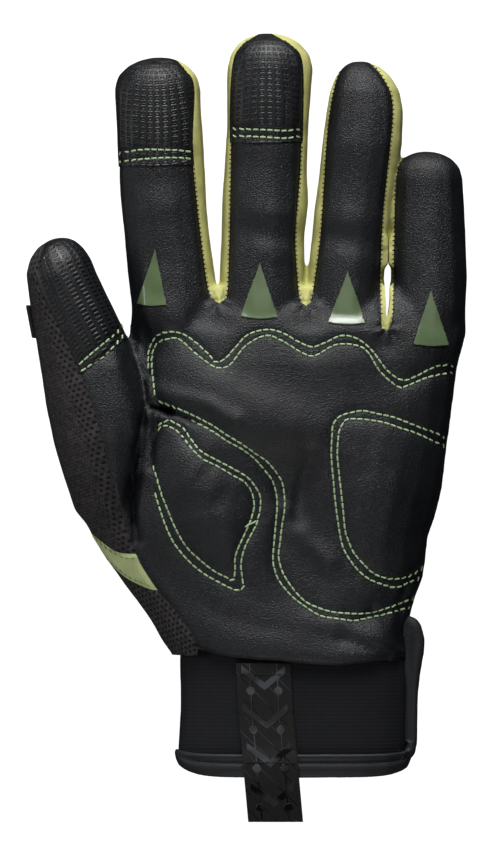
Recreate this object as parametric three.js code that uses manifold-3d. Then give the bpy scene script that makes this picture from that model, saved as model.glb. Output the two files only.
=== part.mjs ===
// Left-hand safety glove, palm up. Millimetres, +Z out of the palm, +Y to the fingertips, thumb at -X.
// The glove is a hollow shell of lofted tubes, cut into its sewn panels along the seams.
import * as THREE from 'three';
import Module from 'manifold-3d';
import { mergeVertices } from 'three/addons/utils/BufferGeometryUtils.js';

const wasm = await Module();
wasm.setup();

// Driving dimensions
const WALL = 1.4;
const CUFF_WALL = 2.4;
const GAP = 0.3;
const RELIEF = 0.5;
const OUTSIDE = { fingerSides: 14, palmSides: 34, rowStep: 11, everyRow: 1, ease: 0 };
const INSIDE = { fingerSides: 10, palmSides: 18, rowStep: 24, everyRow: 2, ease: 0.8 };
const CUFF_SIDES = 24;
const ROLL = { width: 4.2, depth: 5.0, steps: 12, sides: 16 };
const SEAM_STEPS = 2;
// How square the sections are: 2 is an oval
const SQUARE = { finger: 2.4, palm: 2.5, cuff: 2.6 };
// Where the palm's swellings fade in, as shares of its half depth, and how fast they fall off
const SWELL_FADE = { from: 0.1, to: 0.9, falloff: 1.2 };
// Height of a fingertip in its finger's depth, and where its dome's sections lie
const TIP_HEIGHT = 0.4;
const DOME_STEPS = [0.02, 0.12, 0.3, 0.6, 1];
const MERGE = 1e-4;
const CLOSEST = 0.05;
// Reach of the blocks and knives that cut the form
const FAR = 200;
const LOW = -10;
const HIGH = 80;
const FRONT_LOW = 15;
// How far the cutting tubes pass the cuff's ends
const BORE_PAST = 1;
const CUFF_PAST = 4;
const SHELL_PAST = 2;

// Fingers: each row is a section at y, from left to right, with its back and front heights.
// The tip is a dome of the given depth.
const FINGERS = {
  index: {
    tip: { x: -28.2, y: 123.7, dome: 10 },
    rows: [
      { y: 116, left: -43.4, right: -15.6, back: -1.0, front: 22.5 },
      { y: 98, left: -43.0, right: -14.5, back: -0.8, front: 24.5 },
      { y: 84, left: -42.4, right: -13.8, back: -0.4, front: 24.0 },
      { y: 70, left: -41.2, right: -13.0, back: -0.6, front: 25.0 },
      { y: 56, left: -39.9, right: -11.6, back: -1.0, front: 26.5 },
      { y: 42, left: -38.4, right: -9.6, back: -1.0, front: 28.0 },
      { y: 20, left: -35.6, right: -11.0, back: 0.6, front: 27.5 },
    ],
  },
  middle: {
    tip: { x: 6.4, y: 132.0, dome: 11.5 },
    rows: [
      { y: 122, left: -6.2, right: 22.4, back: -1.0, front: 23.0 },
      { y: 104, left: -6.5, right: 20.9, back: -0.8, front: 25.0 },
      { y: 90, left: -7.1, right: 20.1, back: -0.4, front: 24.5 },
      { y: 78, left: -7.8, right: 20.7, back: -0.6, front: 25.5 },
      { y: 62, left: -8.2, right: 19.1, back: -1.0, front: 26.5 },
      { y: 42, left: -8.8, right: 19.5, back: -1.0, front: 28.5 },
      { y: 20, left: -7.0, right: 17.5, back: 0.6, front: 28.0 },
    ],
  },
  ring: {
    tip: { x: 37.2, y: 123.0, dome: 17 },
    rows: [
      { y: 108, left: 27.0, right: 52.0, back: -1.0, front: 21.5 },
      { y: 97, left: 25.6, right: 52.0, back: -0.8, front: 23.5 },
      { y: 84, left: 24.0, right: 49.8, back: -0.4, front: 23.5 },
      { y: 70, left: 22.4, right: 47.9, back: -0.6, front: 24.5 },
      { y: 54, left: 20.9, right: 45.9, back: -1.0, front: 26.0 },
      { y: 40, left: 19.9, right: 45.2, back: -1.0, front: 28.0 },
      { y: 19, left: 21.5, right: 44.8, back: 0.6, front: 27.5 },
    ],
  },
  little: {
    tip: { x: 60.4, y: 92.7, dome: 9 },
    rows: [
      { y: 82, left: 48.9, right: 72.0, back: -1.0, front: 20.5 },
      { y: 70, left: 48.4, right: 72.6, back: -0.6, front: 22.0 },
      { y: 56, left: 48.3, right: 73.0, back: -0.6, front: 23.5 },
      { y: 42, left: 48.5, right: 73.2, back: -1.0, front: 25.5 },
      { y: 18, left: 49.4, right: 67.4, back: 0.8, front: 24.5 },
    ],
  },
  thumb: {
    tip: { x: -61.8, y: 63.7, dome: 12 },
    rows: [
      { y: 59, left: -72.6, right: -52.0, back: 6.0, front: 30.0 },
      { y: 50, left: -73.2, right: -50.0, back: 5.2, front: 31.0 },
      { y: 38, left: -71.6, right: -43.6, back: 4.4, front: 32.0 },
      { y: 26, left: -69.2, right: -38.2, back: 3.6, front: 32.5 },
      { y: 14, left: -67.6, right: -33.8, back: 2.4, front: 33.5 },
      { y: 2, left: -65.8, right: -31.6, back: 1.0, front: 34.5 },
      { y: -12, left: -62.0, right: -33.0, back: 0.2, front: 34.0 },
      { y: -26, left: -57.4, right: -35.0, back: -0.4, front: 30.5 },
      { y: -38, left: -48.0, right: -36.0, back: 0.8, front: 24.0 },
    ],
  },
};

// Palm: sections from the finger roots down to the leather's lower edge
const PALM_ROWS = [
  { y: 47, left: -36.0, right: 71.0, back: 0.0, front: 22.0 },
  { y: 40, left: -38.4, right: 73.0, back: -1.0, front: 27.0 },
  { y: 32, left: -39.0, right: 73.1, back: -1.0, front: 30.0 },
  { y: 22, left: -38.6, right: 70.4, back: -1.0, front: 32.0 },
  { y: 12, left: -38.4, right: 69.2, back: -1.0, front: 33.0 },
  { y: 2, left: -40.0, right: 67.8, back: -1.0, front: 33.5 },
  { y: -9, left: -44.0, right: 66.4, back: -1.0, front: 33.5 },
  { y: -20, left: -51.0, right: 65.0, back: -1.0, front: 33.5 },
  { y: -29, left: -54.4, right: 63.0, back: -1.0, front: 33.5 },
  { y: -36, left: -51.4, right: 60.6, back: -1.0, front: 33.5 },
  { y: -43, left: -46.9, right: 59.8, back: -1.0, front: 33.5 },
  { y: -50, left: -41.6, right: 58.6, back: -0.8, front: 33.8 },
  { y: -57, left: -36.4, right: 55.8, back: -0.4, front: 34.5 },
  { y: -64, left: -31.6, right: 54.6, back: 0.0, front: 35.8 },
  { y: -70, left: -28.0, right: 54.6, back: 0.2, front: 36.7 },
  { y: -75, left: -24.4, right: 55.0, back: 0.4, front: 36.8 },
  { y: -78.6, left: -23.9, right: 54.8, back: 0.6, front: 36.4 },
];

// Padded swellings and creases of the palm: centre, half sizes, turn in degrees, height
const SWELLINGS = [
  { name: 'finger_root_ridge', x: 16, y: 27, across: 46, along: 9, turn: 0, height: 1.6 },
  { name: 'thenar_pad', x: -12, y: -24, across: 14, along: 29, turn: 24, height: 4.2 },
  { name: 'hypothenar_pad', x: 46, y: -22, across: 18, along: 25, turn: 8, height: 3.4 },
  { name: 'thumb_root', x: -40, y: 4, across: 11, along: 20, turn: 14, height: 1.4 },
  { name: 'centre_hollow', x: 17, y: -24, across: 9, along: 26, turn: 10, height: -1.9 },
  { name: 'thumb_crease', x: -24, y: 7, across: 14, along: 4.5, turn: -22, height: -1.8 },
  { name: 'thumb_groove', x: -36, y: -22, across: 4.5, along: 18, turn: 6, height: -1.4 },
  { name: 'lower_fold', x: 40, y: -63, across: 18, along: 5, turn: 28, height: -1.6 },
];

// Cuff: sections of the neoprene tube from under the leather to the hem
const CUFF_ROWS = [
  { y: -62, left: -20.2, right: 51.4, back: 2.4, front: 32.2 },
  { y: -75, left: -21.8, right: 52.6, back: 2.4, front: 33.4 },
  { y: -84, left: -21.6, right: 53.6, back: 1.4, front: 33.8 },
  { y: -96, left: -21.6, right: 53.4, back: 1.0, front: 34.0 },
  { y: -106.5, left: -22.4, right: 53.2, back: 1.0, front: 34.2 },
  { y: -114.8, left: -22.2, right: 53.0, back: 1.2, front: 34.0 },
];
const HEM_ROWS = [
  { y: -108.0, left: -23.6, right: 54.6, back: 0.2, front: 35.2 },
  { y: -110.4, left: -24.2, right: 55.0, back: 0.0, front: 35.8 },
  { y: -114.0, left: -23.6, right: 54.6, back: 0.2, front: 35.2 },
  { y: -116.2, left: -22.6, right: 53.6, back: 0.8, front: 34.4 },
];
// Bound edge that runs up the little finger side of the cuff: path of its middle
const ROLL_PATH = [
  { x: 53.2, y: -62.6, z: 21.0 },
  { x: 55.6, y: -66.2, z: 21.0 },
  { x: 56.6, y: -71.0, z: 20.6 },
  { x: 56.0, y: -78.0, z: 20.4 },
  { x: 55.2, y: -87.0, z: 20.2 },
  { x: 55.0, y: -98.0, z: 20.2 },
  { x: 54.8, y: -106.0, z: 20.2 },
  { x: 54.0, y: -112.0, z: 20.2 },
];
// Pull tab: middle of its underside, from the leather's edge to its free end
const TAB = { width: 18.2, thick: 1.0 };
const TAB_PATH = [
  { x: 5.6, y: -77.8, z: 34.2 },
  { x: 5.9, y: -84.0, z: 34.3 },
  { x: 6.6, y: -96.0, z: 34.5 },
  { x: 7.5, y: -105.5, z: 35.1 },
  { x: 7.9, y: -110.0, z: 36.3 },
  { x: 8.3, y: -115.0, z: 36.3 },
  { x: 8.9, y: -121.5, z: 35.4 },
  { x: 9.8, y: -131.0, z: 33.2 },
];
// Patch across the back of the thumb
const BACK_PATCH = { left: -80, right: -50, bottom: 30.3, top: 41.3, low: 3, high: 19, thick: 1.2 };

// Seams, seen from the palm side: x, y
const SEAMS = {
  indexRight: [[-24.8, 124.4], [-20.8, 119.7], [-17.8, 114], [-18.2, 94.7], [-16.3, 73.3], [-13.6, 51.3], [-12, 43.8]],
  middleLeft: [[5.0, 132.6], [-1.2, 128], [-4.2, 122], [-5.2, 107.3], [-5.2, 90], [-6, 52], [-6.6, 43.8]],
  middleRight: [[7.8, 132.4], [14.5, 128], [18.2, 122.6], [18.6, 106], [17.8, 84], [16.3, 64.7], [17, 49.7], [18, 42.3]],
  ringLeft: [[32.6, 122.6], [29.5, 114.7], [27.2, 101], [25.8, 82], [24.8, 66.3], [23.2, 53], [21.5, 42.3]],
  ringRight: [[39.4, 124], [45.4, 117.3], [48.8, 107.3], [46.8, 84], [45.5, 71.3], [44.6, 50], [45, 33.7]],
  littleLeft: [[55.6, 93.8], [51.2, 88.7], [49.8, 81.3], [49.2, 61.3], [48.8, 41.3], [48.2, 34.7]],
  thumbToPalm: [[-46, 46], [-39.5, 32], [-35.5, 27.7], [-32.6, 19], [-31.6, 8], [-33.8, -4], [-37.2, -17.7], [-38.2, -28],
    [-36.8, -41.3]],
  leatherLeft: [[-36.8, -41.3], [-34.8, -45.7], [-29.5, -53.7], [-23.5, -60.7], [-18.5, -67.7], [-16.2, -73]],
  hem: [[-16.2, -73], [-11.8, -74.7], [-4.8, -76], [12.2, -77.3], [30.5, -78.6], [44.8, -76.9], [50.2, -77.6], [54.6, -76]],
  mesh: [[-64, 70], [-68.8, 55.7], [-68.4, 47], [-60.5, 31.3], [-54.6, 17.5], [-49.2, 1.3], [-43.5, -22.3], [-36.8, -41.3]],
  bandTop: [[-60, -27.5], [-53.8, -33], [-47.3, -38.3], [-42.8, -41], [-36.8, -41.6]],
  bandLow: [[-54.5, -35.2], [-50.2, -38.4], [-47.2, -42.7], [-41.3, -48.7], [-33.8, -52.7], [-29.5, -53.7]],
};
const BAND_SPAN = { from: -42, to: -53.7 };
const CROTCHES = {
  index_middle: { x: -9.2, y: 41.7 },
  middle_ring: { x: 19.8, y: 41 },
  ring_little: { x: 46.6, y: 32.6 },
};
// Glossy triangles: apex above a base of the given half width
const TRIANGLES = [
  { x: -31.4, apex: 60.3, base: 41.6, half: 4.9, lean: 1.0 },
  { x: 4.2, apex: 55.7, base: 37.3, half: 6.3, lean: 0.3 },
  { x: 33.3, apex: 52.8, base: 35.3, half: 6.3, lean: 0.4 },
  { x: 61.3, apex: 46.6, base: 28.2, half: 6.0, lean: 0.1 },
];
const PATCH_EDGES = {
  index: [[-50, 87.6], [-42.8, 87.6], [-30, 87.8], [-10, 88.3]],
  middle: [[-12, 95.9], [-5.5, 95.6], [5.2, 95.2], [18.5, 96], [26, 96.4]],
  thumb: [[-63, 12], [-55.5, 18], [-47.5, 24.3], [-40.2, 30.3], [-33, 37]],
};
// Height of the seam between the front panels and the back
const BACK_SEAM = [
  { y: 140, z: 7.5 },
  { y: 60, z: 8.5 },
  { y: 30, z: 11.5 },
  { y: -40, z: 12.5 },
  { y: -90, z: 12.5 },
];

const smooth = (points, steps = 2) =>
  new THREE.SplineCurve(points.map(([x, y]) => new THREE.Vector2(x, y))).getPoints(steps * (points.length - 1))
    .map((p) => [p.x, p.y]);

// Value of a column of a table at y, along a smooth curve through its rows
function column(rows, name, y) {
  const below = rows.findIndex((row) => row.y <= y);
  const i = Math.max(0, Math.min(rows.length - 2, (below < 0 ? rows.length : below) - 1));
  const [a, b] = [rows[i], rows[i + 1]];
  const t = THREE.MathUtils.clamp((y - a.y) / (b.y - a.y), 0, 1);
  const slope = (k) => {
    const [p, q] = [rows[Math.max(0, k - 1)], rows[Math.min(rows.length - 1, k + 1)]];
    return ((q[name] - p[name]) / (q.y - p.y)) * (b.y - a.y);
  };
  const [t2, t3] = [t * t, t * t * t];
  return (2 * t3 - 3 * t2 + 1) * a[name] + (t3 - 2 * t2 + t) * slope(i)
    + (3 * t2 - 2 * t3) * b[name] + (t3 - t2) * slope(i + 1);
}

// Rise of the palm's front at x, y
function swelling(x, y) {
  let rise = 0;
  for (const pad of SWELLINGS) {
    const turn = THREE.MathUtils.degToRad(pad.turn);
    const [dx, dy] = [x - pad.x, y - pad.y];
    const u = (dx * Math.cos(turn) + dy * Math.sin(turn)) / pad.across;
    const v = (dy * Math.cos(turn) - dx * Math.sin(turn)) / pad.along;
    rise += pad.height * Math.exp(-(u * u + v * v) * SWELL_FADE.falloff);
  }
  return rise;
}

// Section ring with evenly spaced points, of a squared oval, grown by an offset. With an ease, its front
// follows the palm's swellings, lowered by that much where coarse sections would cut through their hollows.
function ring(row, sides, power, grow, ease) {
  const [cx, cz] = [(row.left + row.right) / 2, (row.back + row.front) / 2];
  const [a, b] = [(row.right - row.left) / 2 + grow, (row.front - row.back) / 2 + grow];
  const oval = (t) => {
    const [c, s] = [Math.cos(t), Math.sin(t)];
    return new THREE.Vector2(Math.sign(c) * a * Math.abs(c) ** (2 / power), Math.sign(s) * b * Math.abs(s) ** (2 / power));
  };
  const count = 360;
  const fine = Array.from({ length: count + 1 }, (_, i) => oval((i / count) * 2 * Math.PI));
  const lengths = [0];
  for (let i = 1; i < fine.length; i += 1) lengths.push(lengths[i - 1] + fine[i].distanceTo(fine[i - 1]));
  const points = [];
  for (let k = 0, i = 1; k < sides; k += 1) {
    const aim = (k / sides) * lengths[count];
    while (lengths[i] < aim) i += 1;
    const t = (aim - lengths[i - 1]) / (lengths[i] - lengths[i - 1]);
    const p = fine[i - 1].clone().lerp(fine[i], t);
    const front = THREE.MathUtils.smoothstep(p.y / b, SWELL_FADE.from, SWELL_FADE.to);
    points.push([cx + p.x, row.y, cz + p.y + (ease === undefined ? 0 : front * (swelling(cx + p.x, row.y) - ease))]);
  }
  return points;
}

function solid(positions, triangles) {
  const geometry = new THREE.BufferGeometry();
  geometry.setAttribute('position', new THREE.Float32BufferAttribute(positions.flat(), 3));
  geometry.setIndex(triangles.flat());
  return fromGeometry(geometry);
}

function fromGeometry(source) {
  let geometry = source.clone();
  geometry.deleteAttribute('normal');
  geometry.deleteAttribute('uv');
  geometry = mergeVertices(geometry, MERGE);
  return new wasm.Manifold(new wasm.Mesh({
    numProp: 3,
    vertProperties: new Float32Array(geometry.attributes.position.array),
    triVerts: new Uint32Array(geometry.index.array),
  }));
}

// Closed tube through rings that run from high y to low y
function loft(rings) {
  const sides = rings[0].length;
  const triangles = [];
  for (let r = 0; r < rings.length - 1; r += 1) {
    for (let k = 0; k < sides; k += 1) {
      const [a, b] = [r * sides + k, r * sides + ((k + 1) % sides)];
      triangles.push([a, b, b + sides], [a, b + sides, a + sides]);
    }
  }
  const positions = rings.flat();
  for (const end of [0, rings.length - 1]) {
    const middle = rings[end].reduce((sum, p) => sum.map((v, i) => v + p[i] / sides), [0, 0, 0]);
    const hub = positions.push(middle) - 1;
    for (let k = 0; k < sides; k += 1) {
      const [a, b] = [end * sides + k, end * sides + ((k + 1) % sides)];
      triangles.push(end === 0 ? [hub, b, a] : [hub, a, b]);
    }
  }
  return solid(positions, triangles);
}

// One finger as a solid, grown by an offset
function finger({ tip, rows }, grow, { fingerSides, rowStep }) {
  const top = tip.y + grow;
  const rings = DOME_STEPS.map((share) => {
    const y = top - share * tip.dome;
    const round = Math.sqrt(1 - (1 - share) ** 2);
    const row = Object.fromEntries(['left', 'right', 'back', 'front'].map((name) => [name, column(rows, name, y)]));
    const width = ((row.right - row.left) / 2 + grow) * round - grow;
    const depth = ((row.front - row.back) / 2 + grow) * round - grow;
    const x = THREE.MathUtils.lerp(tip.x, (row.left + row.right) / 2, round);
    const z = THREE.MathUtils.lerp(THREE.MathUtils.lerp(row.back, row.front, TIP_HEIGHT), (row.back + row.front) / 2, round);
    return ring({ y, left: x - width, right: x + width, back: z - depth, front: z + depth }, fingerSides, SQUARE.finger, grow);
  });
  const last = rows[rows.length - 1].y;
  const start = top - tip.dome;
  const count = Math.round((start - last) / rowStep);
  for (let i = 1; i <= count; i += 1) {
    const y = start + ((last - start) * i) / count;
    const row = Object.fromEntries(['left', 'right', 'back', 'front'].map((name) => [name, column(rows, name, y)]));
    rings.push(ring({ y, ...row }, fingerSides, SQUARE.finger, grow));
  }
  return loft(rings);
}

// The palm, open ended where it passes the leather's lower edge
function palm(grow, extra, { palmSides, everyRow, ease }) {
  const rows = PALM_ROWS.filter((_, i) => i % everyRow === 0)
    .map((row, i) => ({ ...row, y: i === 0 ? row.y + grow : row.y }));
  if (extra) rows.push({ ...rows[rows.length - 1], y: rows[rows.length - 1].y - extra });
  return loft(rows.map((row) => ring(row, palmSides, SQUARE.palm, grow, ease)));
}

const block = (x0, x1, y0, y1, z0, z1) =>
  fromGeometry(new THREE.BoxGeometry(x1 - x0, y1 - y0, z1 - z0).translate((x0 + x1) / 2, (y0 + y1) / 2, (z0 + z1) / 2));

// The whole hand form grown by an offset, with a flat underside
function form(grow, floor, extra = 0, fineness = OUTSIDE) {
  let body = palm(grow, extra, fineness);
  for (const part of Object.values(FINGERS)) body = body.add(finger(part, grow, fineness));
  return body.intersect(block(-FAR, FAR, -FAR, FAR, floor, FAR));
}

// Outline moved sideways by a distance, outwards on an anticlockwise outline
function moved(points, distance) {
  const outline = points.filter(([x, y], i) => {
    const [ax, ay] = points[(i + points.length - 1) % points.length];
    return Math.hypot(x - ax, y - ay) > CLOSEST;
  });
  const count = outline.length;
  return outline.map(([x, y], i) => {
    const [ax, ay] = outline[(i + count - 1) % count];
    const [bx, by] = outline[(i + 1) % count];
    const length = Math.hypot(bx - ax, by - ay) || 1;
    return [x + ((by - ay) / length) * distance, y - ((bx - ax) / length) * distance];
  });
}

function prism(outline, distance = 0, low = LOW, high = HIGH) {
  const area = THREE.ShapeUtils.area(outline.map(([x, y]) => new THREE.Vector2(x, y)));
  const turned = area > 0 ? outline : [...outline].reverse();
  const shape = new THREE.Shape(moved(turned, distance).map(([x, y]) => new THREE.Vector2(x, y)));
  const geometry = new THREE.ExtrudeGeometry(shape, { depth: high - low, bevelEnabled: false });
  return fromGeometry(geometry.translate(0, 0, low));
}

// Everything below the seam of the back, lowered or raised by an offset
function belowSeam(offset) {
  const corner = (x, row, z) => [x, row.y, z];
  return loft(BACK_SEAM.map((row) => [
    corner(FAR, row, LOW), corner(FAR, row, row.z + offset), corner(-FAR, row, row.z + offset), corner(-FAR, row, LOW),
  ]));
}

// A named mesh of the largest body of a cut
function mesh(name, manifold, material) {
  const [body] = manifold.decompose().sort((a, b) => b.volume() - a.volume());
  const { vertProperties, triVerts } = body.getMesh();
  const geometry = new THREE.BufferGeometry();
  geometry.setAttribute('position', new THREE.Float32BufferAttribute(vertProperties, 3));
  geometry.setIndex(new THREE.Uint32BufferAttribute(triVerts, 1));
  geometry.computeVertexNormals();
  const result = new THREE.Mesh(geometry, material);
  result.name = name;
  return result;
}

const finish = (colour, roughness, metalness = 0) => new THREE.MeshStandardMaterial({ color: colour, roughness, metalness });
const LEATHER = finish(0x26272a, 0.5);
const GRIP = finish(0x222326, 0.45);
const GREEN_CLOTH = finish(0xb4b873, 0.85);
const BAND_CLOTH = finish(0xb4bc82, 0.8);
const GLOSS_GREEN = finish(0x6a8452, 0.2);
const MESH_CLOTH = finish(0x302b29, 0.9);
const BACK_CLOTH = finish(0x1f2023, 0.85);
const NEOPRENE = finish(0x1c1d21, 0.8);
const BINDING = finish(0x333438, 0.6);
const STRAP = finish(0x1f1c1a, 0.6);

const tube = (rows, grow) => loft(rows.map((row) => ring(row, CUFF_SIDES, SQUARE.cuff, grow)));
const outer = form(0, 0);
const shell = outer.subtract(form(-WALL, WALL, SHELL_PAST, INSIDE)).subtract(tube(CUFF_ROWS, GAP));
const clear = form(GAP, 0, SHELL_PAST);
const raised = (thick) => form(GAP + thick, 0).subtract(clear);
const above = block(-FAR, FAR, -FAR, FAR, LOW, FAR).subtract(belowSeam(GAP / 2));
const upper = shell.intersect(above);

const seam = Object.fromEntries(Object.entries(SEAMS).map(([name, points]) => [name, smooth(points, SEAM_STEPS)]));
const back = (points) => [...points].reverse();
const crotch = ({ x, y }) => [[x, y]];

const besideBand = seam.leatherLeft.filter(([, y]) => y < BAND_SPAN.from && y > BAND_SPAN.to + 0.5);
const besideWrist = seam.leatherLeft.filter(([, y]) => y < BAND_SPAN.to - 0.5);
const thumbArea = [[-64, 75], [-47, 66], ...seam.thumbToPalm, ...back(seam.mesh)];
const meshArea = [...seam.mesh, ...back(seam.bandTop), [-90, -27.5], [-90, 75]];
const bandArea = [...back(seam.bandTop), [-90, -27.5], [-90, -35.2], ...seam.bandLow, ...back(besideBand)];
const wristArea = [...seam.bandLow, ...besideWrist, [-16.2, -100], [-90, -100], [-90, -35.2]];
const fourchetteAreas = {
  index_middle: [...seam.indexRight, ...crotch(CROTCHES.index_middle), ...back(seam.middleLeft), [6.4, 140], [-24.8, 140]],
  middle_ring: [...seam.middleRight, ...crotch(CROTCHES.middle_ring), ...back(seam.ringLeft), [32.6, 140], [6.4, 140]],
  ring_little: [...seam.ringRight, ...crotch(CROTCHES.ring_little), ...back(seam.littleLeft), [55.6, 110], [39.4, 140]],
};
const tipAreas = {
  index: [...smooth(PATCH_EDGES.index), [-10, 140], [-50, 140]],
  middle: [...smooth(PATCH_EDGES.middle), [26, 140], [-12, 140]],
  thumb: [...smooth(PATCH_EDGES.thumb), [-33, 80], [-80, 80], [-80, 12]],
};
const belowHem = [...seam.hem, [90, -76], [90, -140], [-60, -140], [-16.2, -100]];

const cut = (source, outline) => source.intersect(prism(outline, -GAP / 2)).intersect(prism(outline));
const without = (source, outline) => source.subtract(prism(outline, GAP / 2)).subtract(prism(outline));

const notLeather = [thumbArea, meshArea, bandArea, wristArea, belowHem, ...Object.values(fourchetteAreas)];
let palmLeather = upper;
for (const area of notLeather) palmLeather = without(palmLeather, area);

const pieces = [];

pieces.push(mesh('index_tip_patch', cut(palmLeather, tipAreas.index), GRIP));
pieces.push(mesh('middle_tip_patch', cut(palmLeather, tipAreas.middle), GRIP));
palmLeather = without(without(palmLeather, tipAreas.index), tipAreas.middle);
pieces.push(mesh('palm_panel', palmLeather, LEATHER));

const thumbLeather = cut(upper, thumbArea);
pieces.push(mesh('thumb_tip_patch', cut(thumbLeather, tipAreas.thumb), GRIP));
pieces.push(mesh('thumb_front', without(thumbLeather, tipAreas.thumb), LEATHER));
pieces.push(mesh('thumb_mesh', cut(upper, meshArea), MESH_CLOTH));
pieces.push(mesh('thumb_band', cut(upper, bandArea), BAND_CLOTH));
pieces.push(mesh('wrist_mesh', cut(upper, wristArea), MESH_CLOTH));
for (const [name, area] of Object.entries(fourchetteAreas)) {
  pieces.push(mesh(`fourchette_${name}`, cut(upper, area), GREEN_CLOTH));
}
pieces.push(mesh('back_panel', shell.intersect(belowSeam(-GAP / 2)), BACK_CLOTH));

TRIANGLES.forEach(({ x, apex, base, half, lean }, i) => {
  const outline = [[x - half, base], [x + half, base - 0.4], [x + lean, apex]];
  pieces.push(mesh(`finger_triangle_${i + 1}`, raised(RELIEF).intersect(prism(outline, 0, FRONT_LOW)), GLOSS_GREEN));
});
const { left, right, bottom, top, low, high, thick } = BACK_PATCH;
pieces.push(mesh('thumb_back_patch', raised(thick).intersect(block(left, right, bottom, top, low, high)), BACK_CLOTH));

// Cuff, its bound hem and its pull tab
const stretched = (rows, by) => rows.map((row, i) =>
  ({ ...row, y: row.y + (i === 0 ? by : i === rows.length - 1 ? -by : 0) }));
const cuff = tube(CUFF_ROWS, 0).subtract(tube(stretched(CUFF_ROWS, BORE_PAST), -CUFF_WALL));
pieces.push(mesh('cuff', cuff, NEOPRENE));

const rollPath = new THREE.CatmullRomCurve3(ROLL_PATH.map(({ x, y, z }) => new THREE.Vector3(x, y, z)));
const rollShape = new THREE.Shape().absellipse(0, 0, ROLL.depth / 2, ROLL.width / 2, 0, Math.PI * 2);
const roll = fromGeometry(new THREE.ExtrudeGeometry(rollShape,
  { steps: ROLL.steps, extrudePath: rollPath, curveSegments: ROLL.sides / 4 }));
const bound = tube(HEM_ROWS, 0).add(roll).subtract(tube(stretched(CUFF_ROWS, CUFF_PAST), GAP)).subtract(clear);
pieces.push(mesh('cuff_binding', bound, BINDING));

function strap() {
  const rings = [];
  for (const { x, y, z } of TAB_PATH) {
    rings.push([
      [x + TAB.width / 2, y, z], [x + TAB.width / 2, y, z + TAB.thick], [x, y, z + TAB.thick],
      [x - TAB.width / 2, y, z + TAB.thick], [x - TAB.width / 2, y, z], [x, y, z],
    ]);
  }
  return loft(rings);
}
pieces.push(mesh('pull_tab', strap(), STRAP));

const glove = new THREE.Group();
glove.name = 'glove';
glove.add(...pieces);
const size = new THREE.Box3().setFromObject(glove);
const middle = size.getCenter(new THREE.Vector3());
glove.position.set(-middle.x, -middle.y, -size.min.z);

export default glove;
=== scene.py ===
# %% [markdown]
# A mechanic's safety glove, left hand, lying on its back with the palm up.
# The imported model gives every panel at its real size. This lesson melts the panels into one
# smooth skin, puffs and creases it as worn leather does, cuts it along its seams into the
# real panels again, sews it with thread and gives every piece its finish.

import math
import time

import bpy
import numpy as np
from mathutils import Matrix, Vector, noise
from mathutils.bvhtree import BVHTree


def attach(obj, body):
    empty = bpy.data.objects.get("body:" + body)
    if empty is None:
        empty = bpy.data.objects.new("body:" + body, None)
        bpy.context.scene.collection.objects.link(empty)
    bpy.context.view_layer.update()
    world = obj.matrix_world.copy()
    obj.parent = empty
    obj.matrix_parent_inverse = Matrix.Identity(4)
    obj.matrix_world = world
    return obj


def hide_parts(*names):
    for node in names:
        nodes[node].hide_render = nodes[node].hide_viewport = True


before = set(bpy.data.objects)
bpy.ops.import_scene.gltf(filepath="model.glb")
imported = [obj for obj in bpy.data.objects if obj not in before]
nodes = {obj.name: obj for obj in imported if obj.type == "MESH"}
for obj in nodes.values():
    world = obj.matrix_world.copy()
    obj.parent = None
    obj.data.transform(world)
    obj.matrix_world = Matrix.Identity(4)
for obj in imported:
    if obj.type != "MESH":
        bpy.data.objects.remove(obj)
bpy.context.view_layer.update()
started = time.time()

# %% [markdown]
# All drawn lines below are in millimetres on the palm plane, X to the little finger and Y to
# the fingertips, as a glove maker would mark them on a card pattern. One pixel of the
# photograph is a third of a millimetre.

# %% Units and small helpers
MM = 0.001
PIXEL = MM / 3
CENTRING = np.array([0.179, -0.385])


def metres(points):
    """Pattern points in millimetres, as metres in the frame."""
    return (np.asarray(points, dtype=float) + CENTRING) * MM


def smooth(points, steps=8):
    """A Catmull-Rom curve through the points, as an array of points."""
    points = np.asarray(points, dtype=float)
    padded = np.vstack([2 * points[0] - points[1], points, 2 * points[-1] - points[-2]])
    curve = []
    for i in range(1, len(padded) - 2):
        a, b, c, d = padded[i - 1 : i + 3]
        for t in np.arange(steps) / steps:
            curve.append(0.5 * (2 * b + (c - a) * t + (2 * a - 5 * b + 4 * c - d) * t**2
                                + (3 * b - a - 3 * c + d) * t**3))
    curve.append(padded[-2])
    return np.array(curve)


def only(obj):
    """Selects one object and makes it active."""
    bpy.ops.object.select_all(action="DESELECT")
    obj.select_set(True)
    bpy.context.view_layer.objects.active = obj


def modifier(obj, kind, **settings):
    """Adds one modifier and applies it."""
    only(obj)
    item = obj.modifiers.new(kind.lower(), kind)
    for name, value in settings.items():
        setattr(item, name, value)
    bpy.ops.object.modifier_apply(modifier=item.name)


def duplicate(obj, name):
    """A free copy of a mesh object with its own mesh."""
    copy = obj.copy()
    copy.data = obj.data.copy()
    copy.name = copy.data.name = name
    copy.parent = None
    bpy.context.scene.collection.objects.link(copy)
    return copy


def corners(obj):
    """Vertex positions as an array, in metres."""
    values = np.empty(len(obj.data.vertices) * 3)
    obj.data.vertices.foreach_get("co", values)
    return values.reshape(-1, 3)


def normals(obj):
    """Vertex normals as an array."""
    values = np.empty(len(obj.data.vertices) * 3)
    obj.data.vertex_normals.foreach_get("vector", values)
    return values.reshape(-1, 3)


def move_to(obj, positions):
    """Puts every vertex at its new position, in metres."""
    obj.data.vertices.foreach_set("co", np.ascontiguousarray(positions).ravel())
    obj.data.update()


def shade(obj, angle=40):
    """Smooth shading, with edges sharper than the angle kept crisp."""
    only(obj)
    bpy.ops.object.shade_smooth_by_angle(angle=math.radians(angle))


print("helpers ready")

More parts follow.
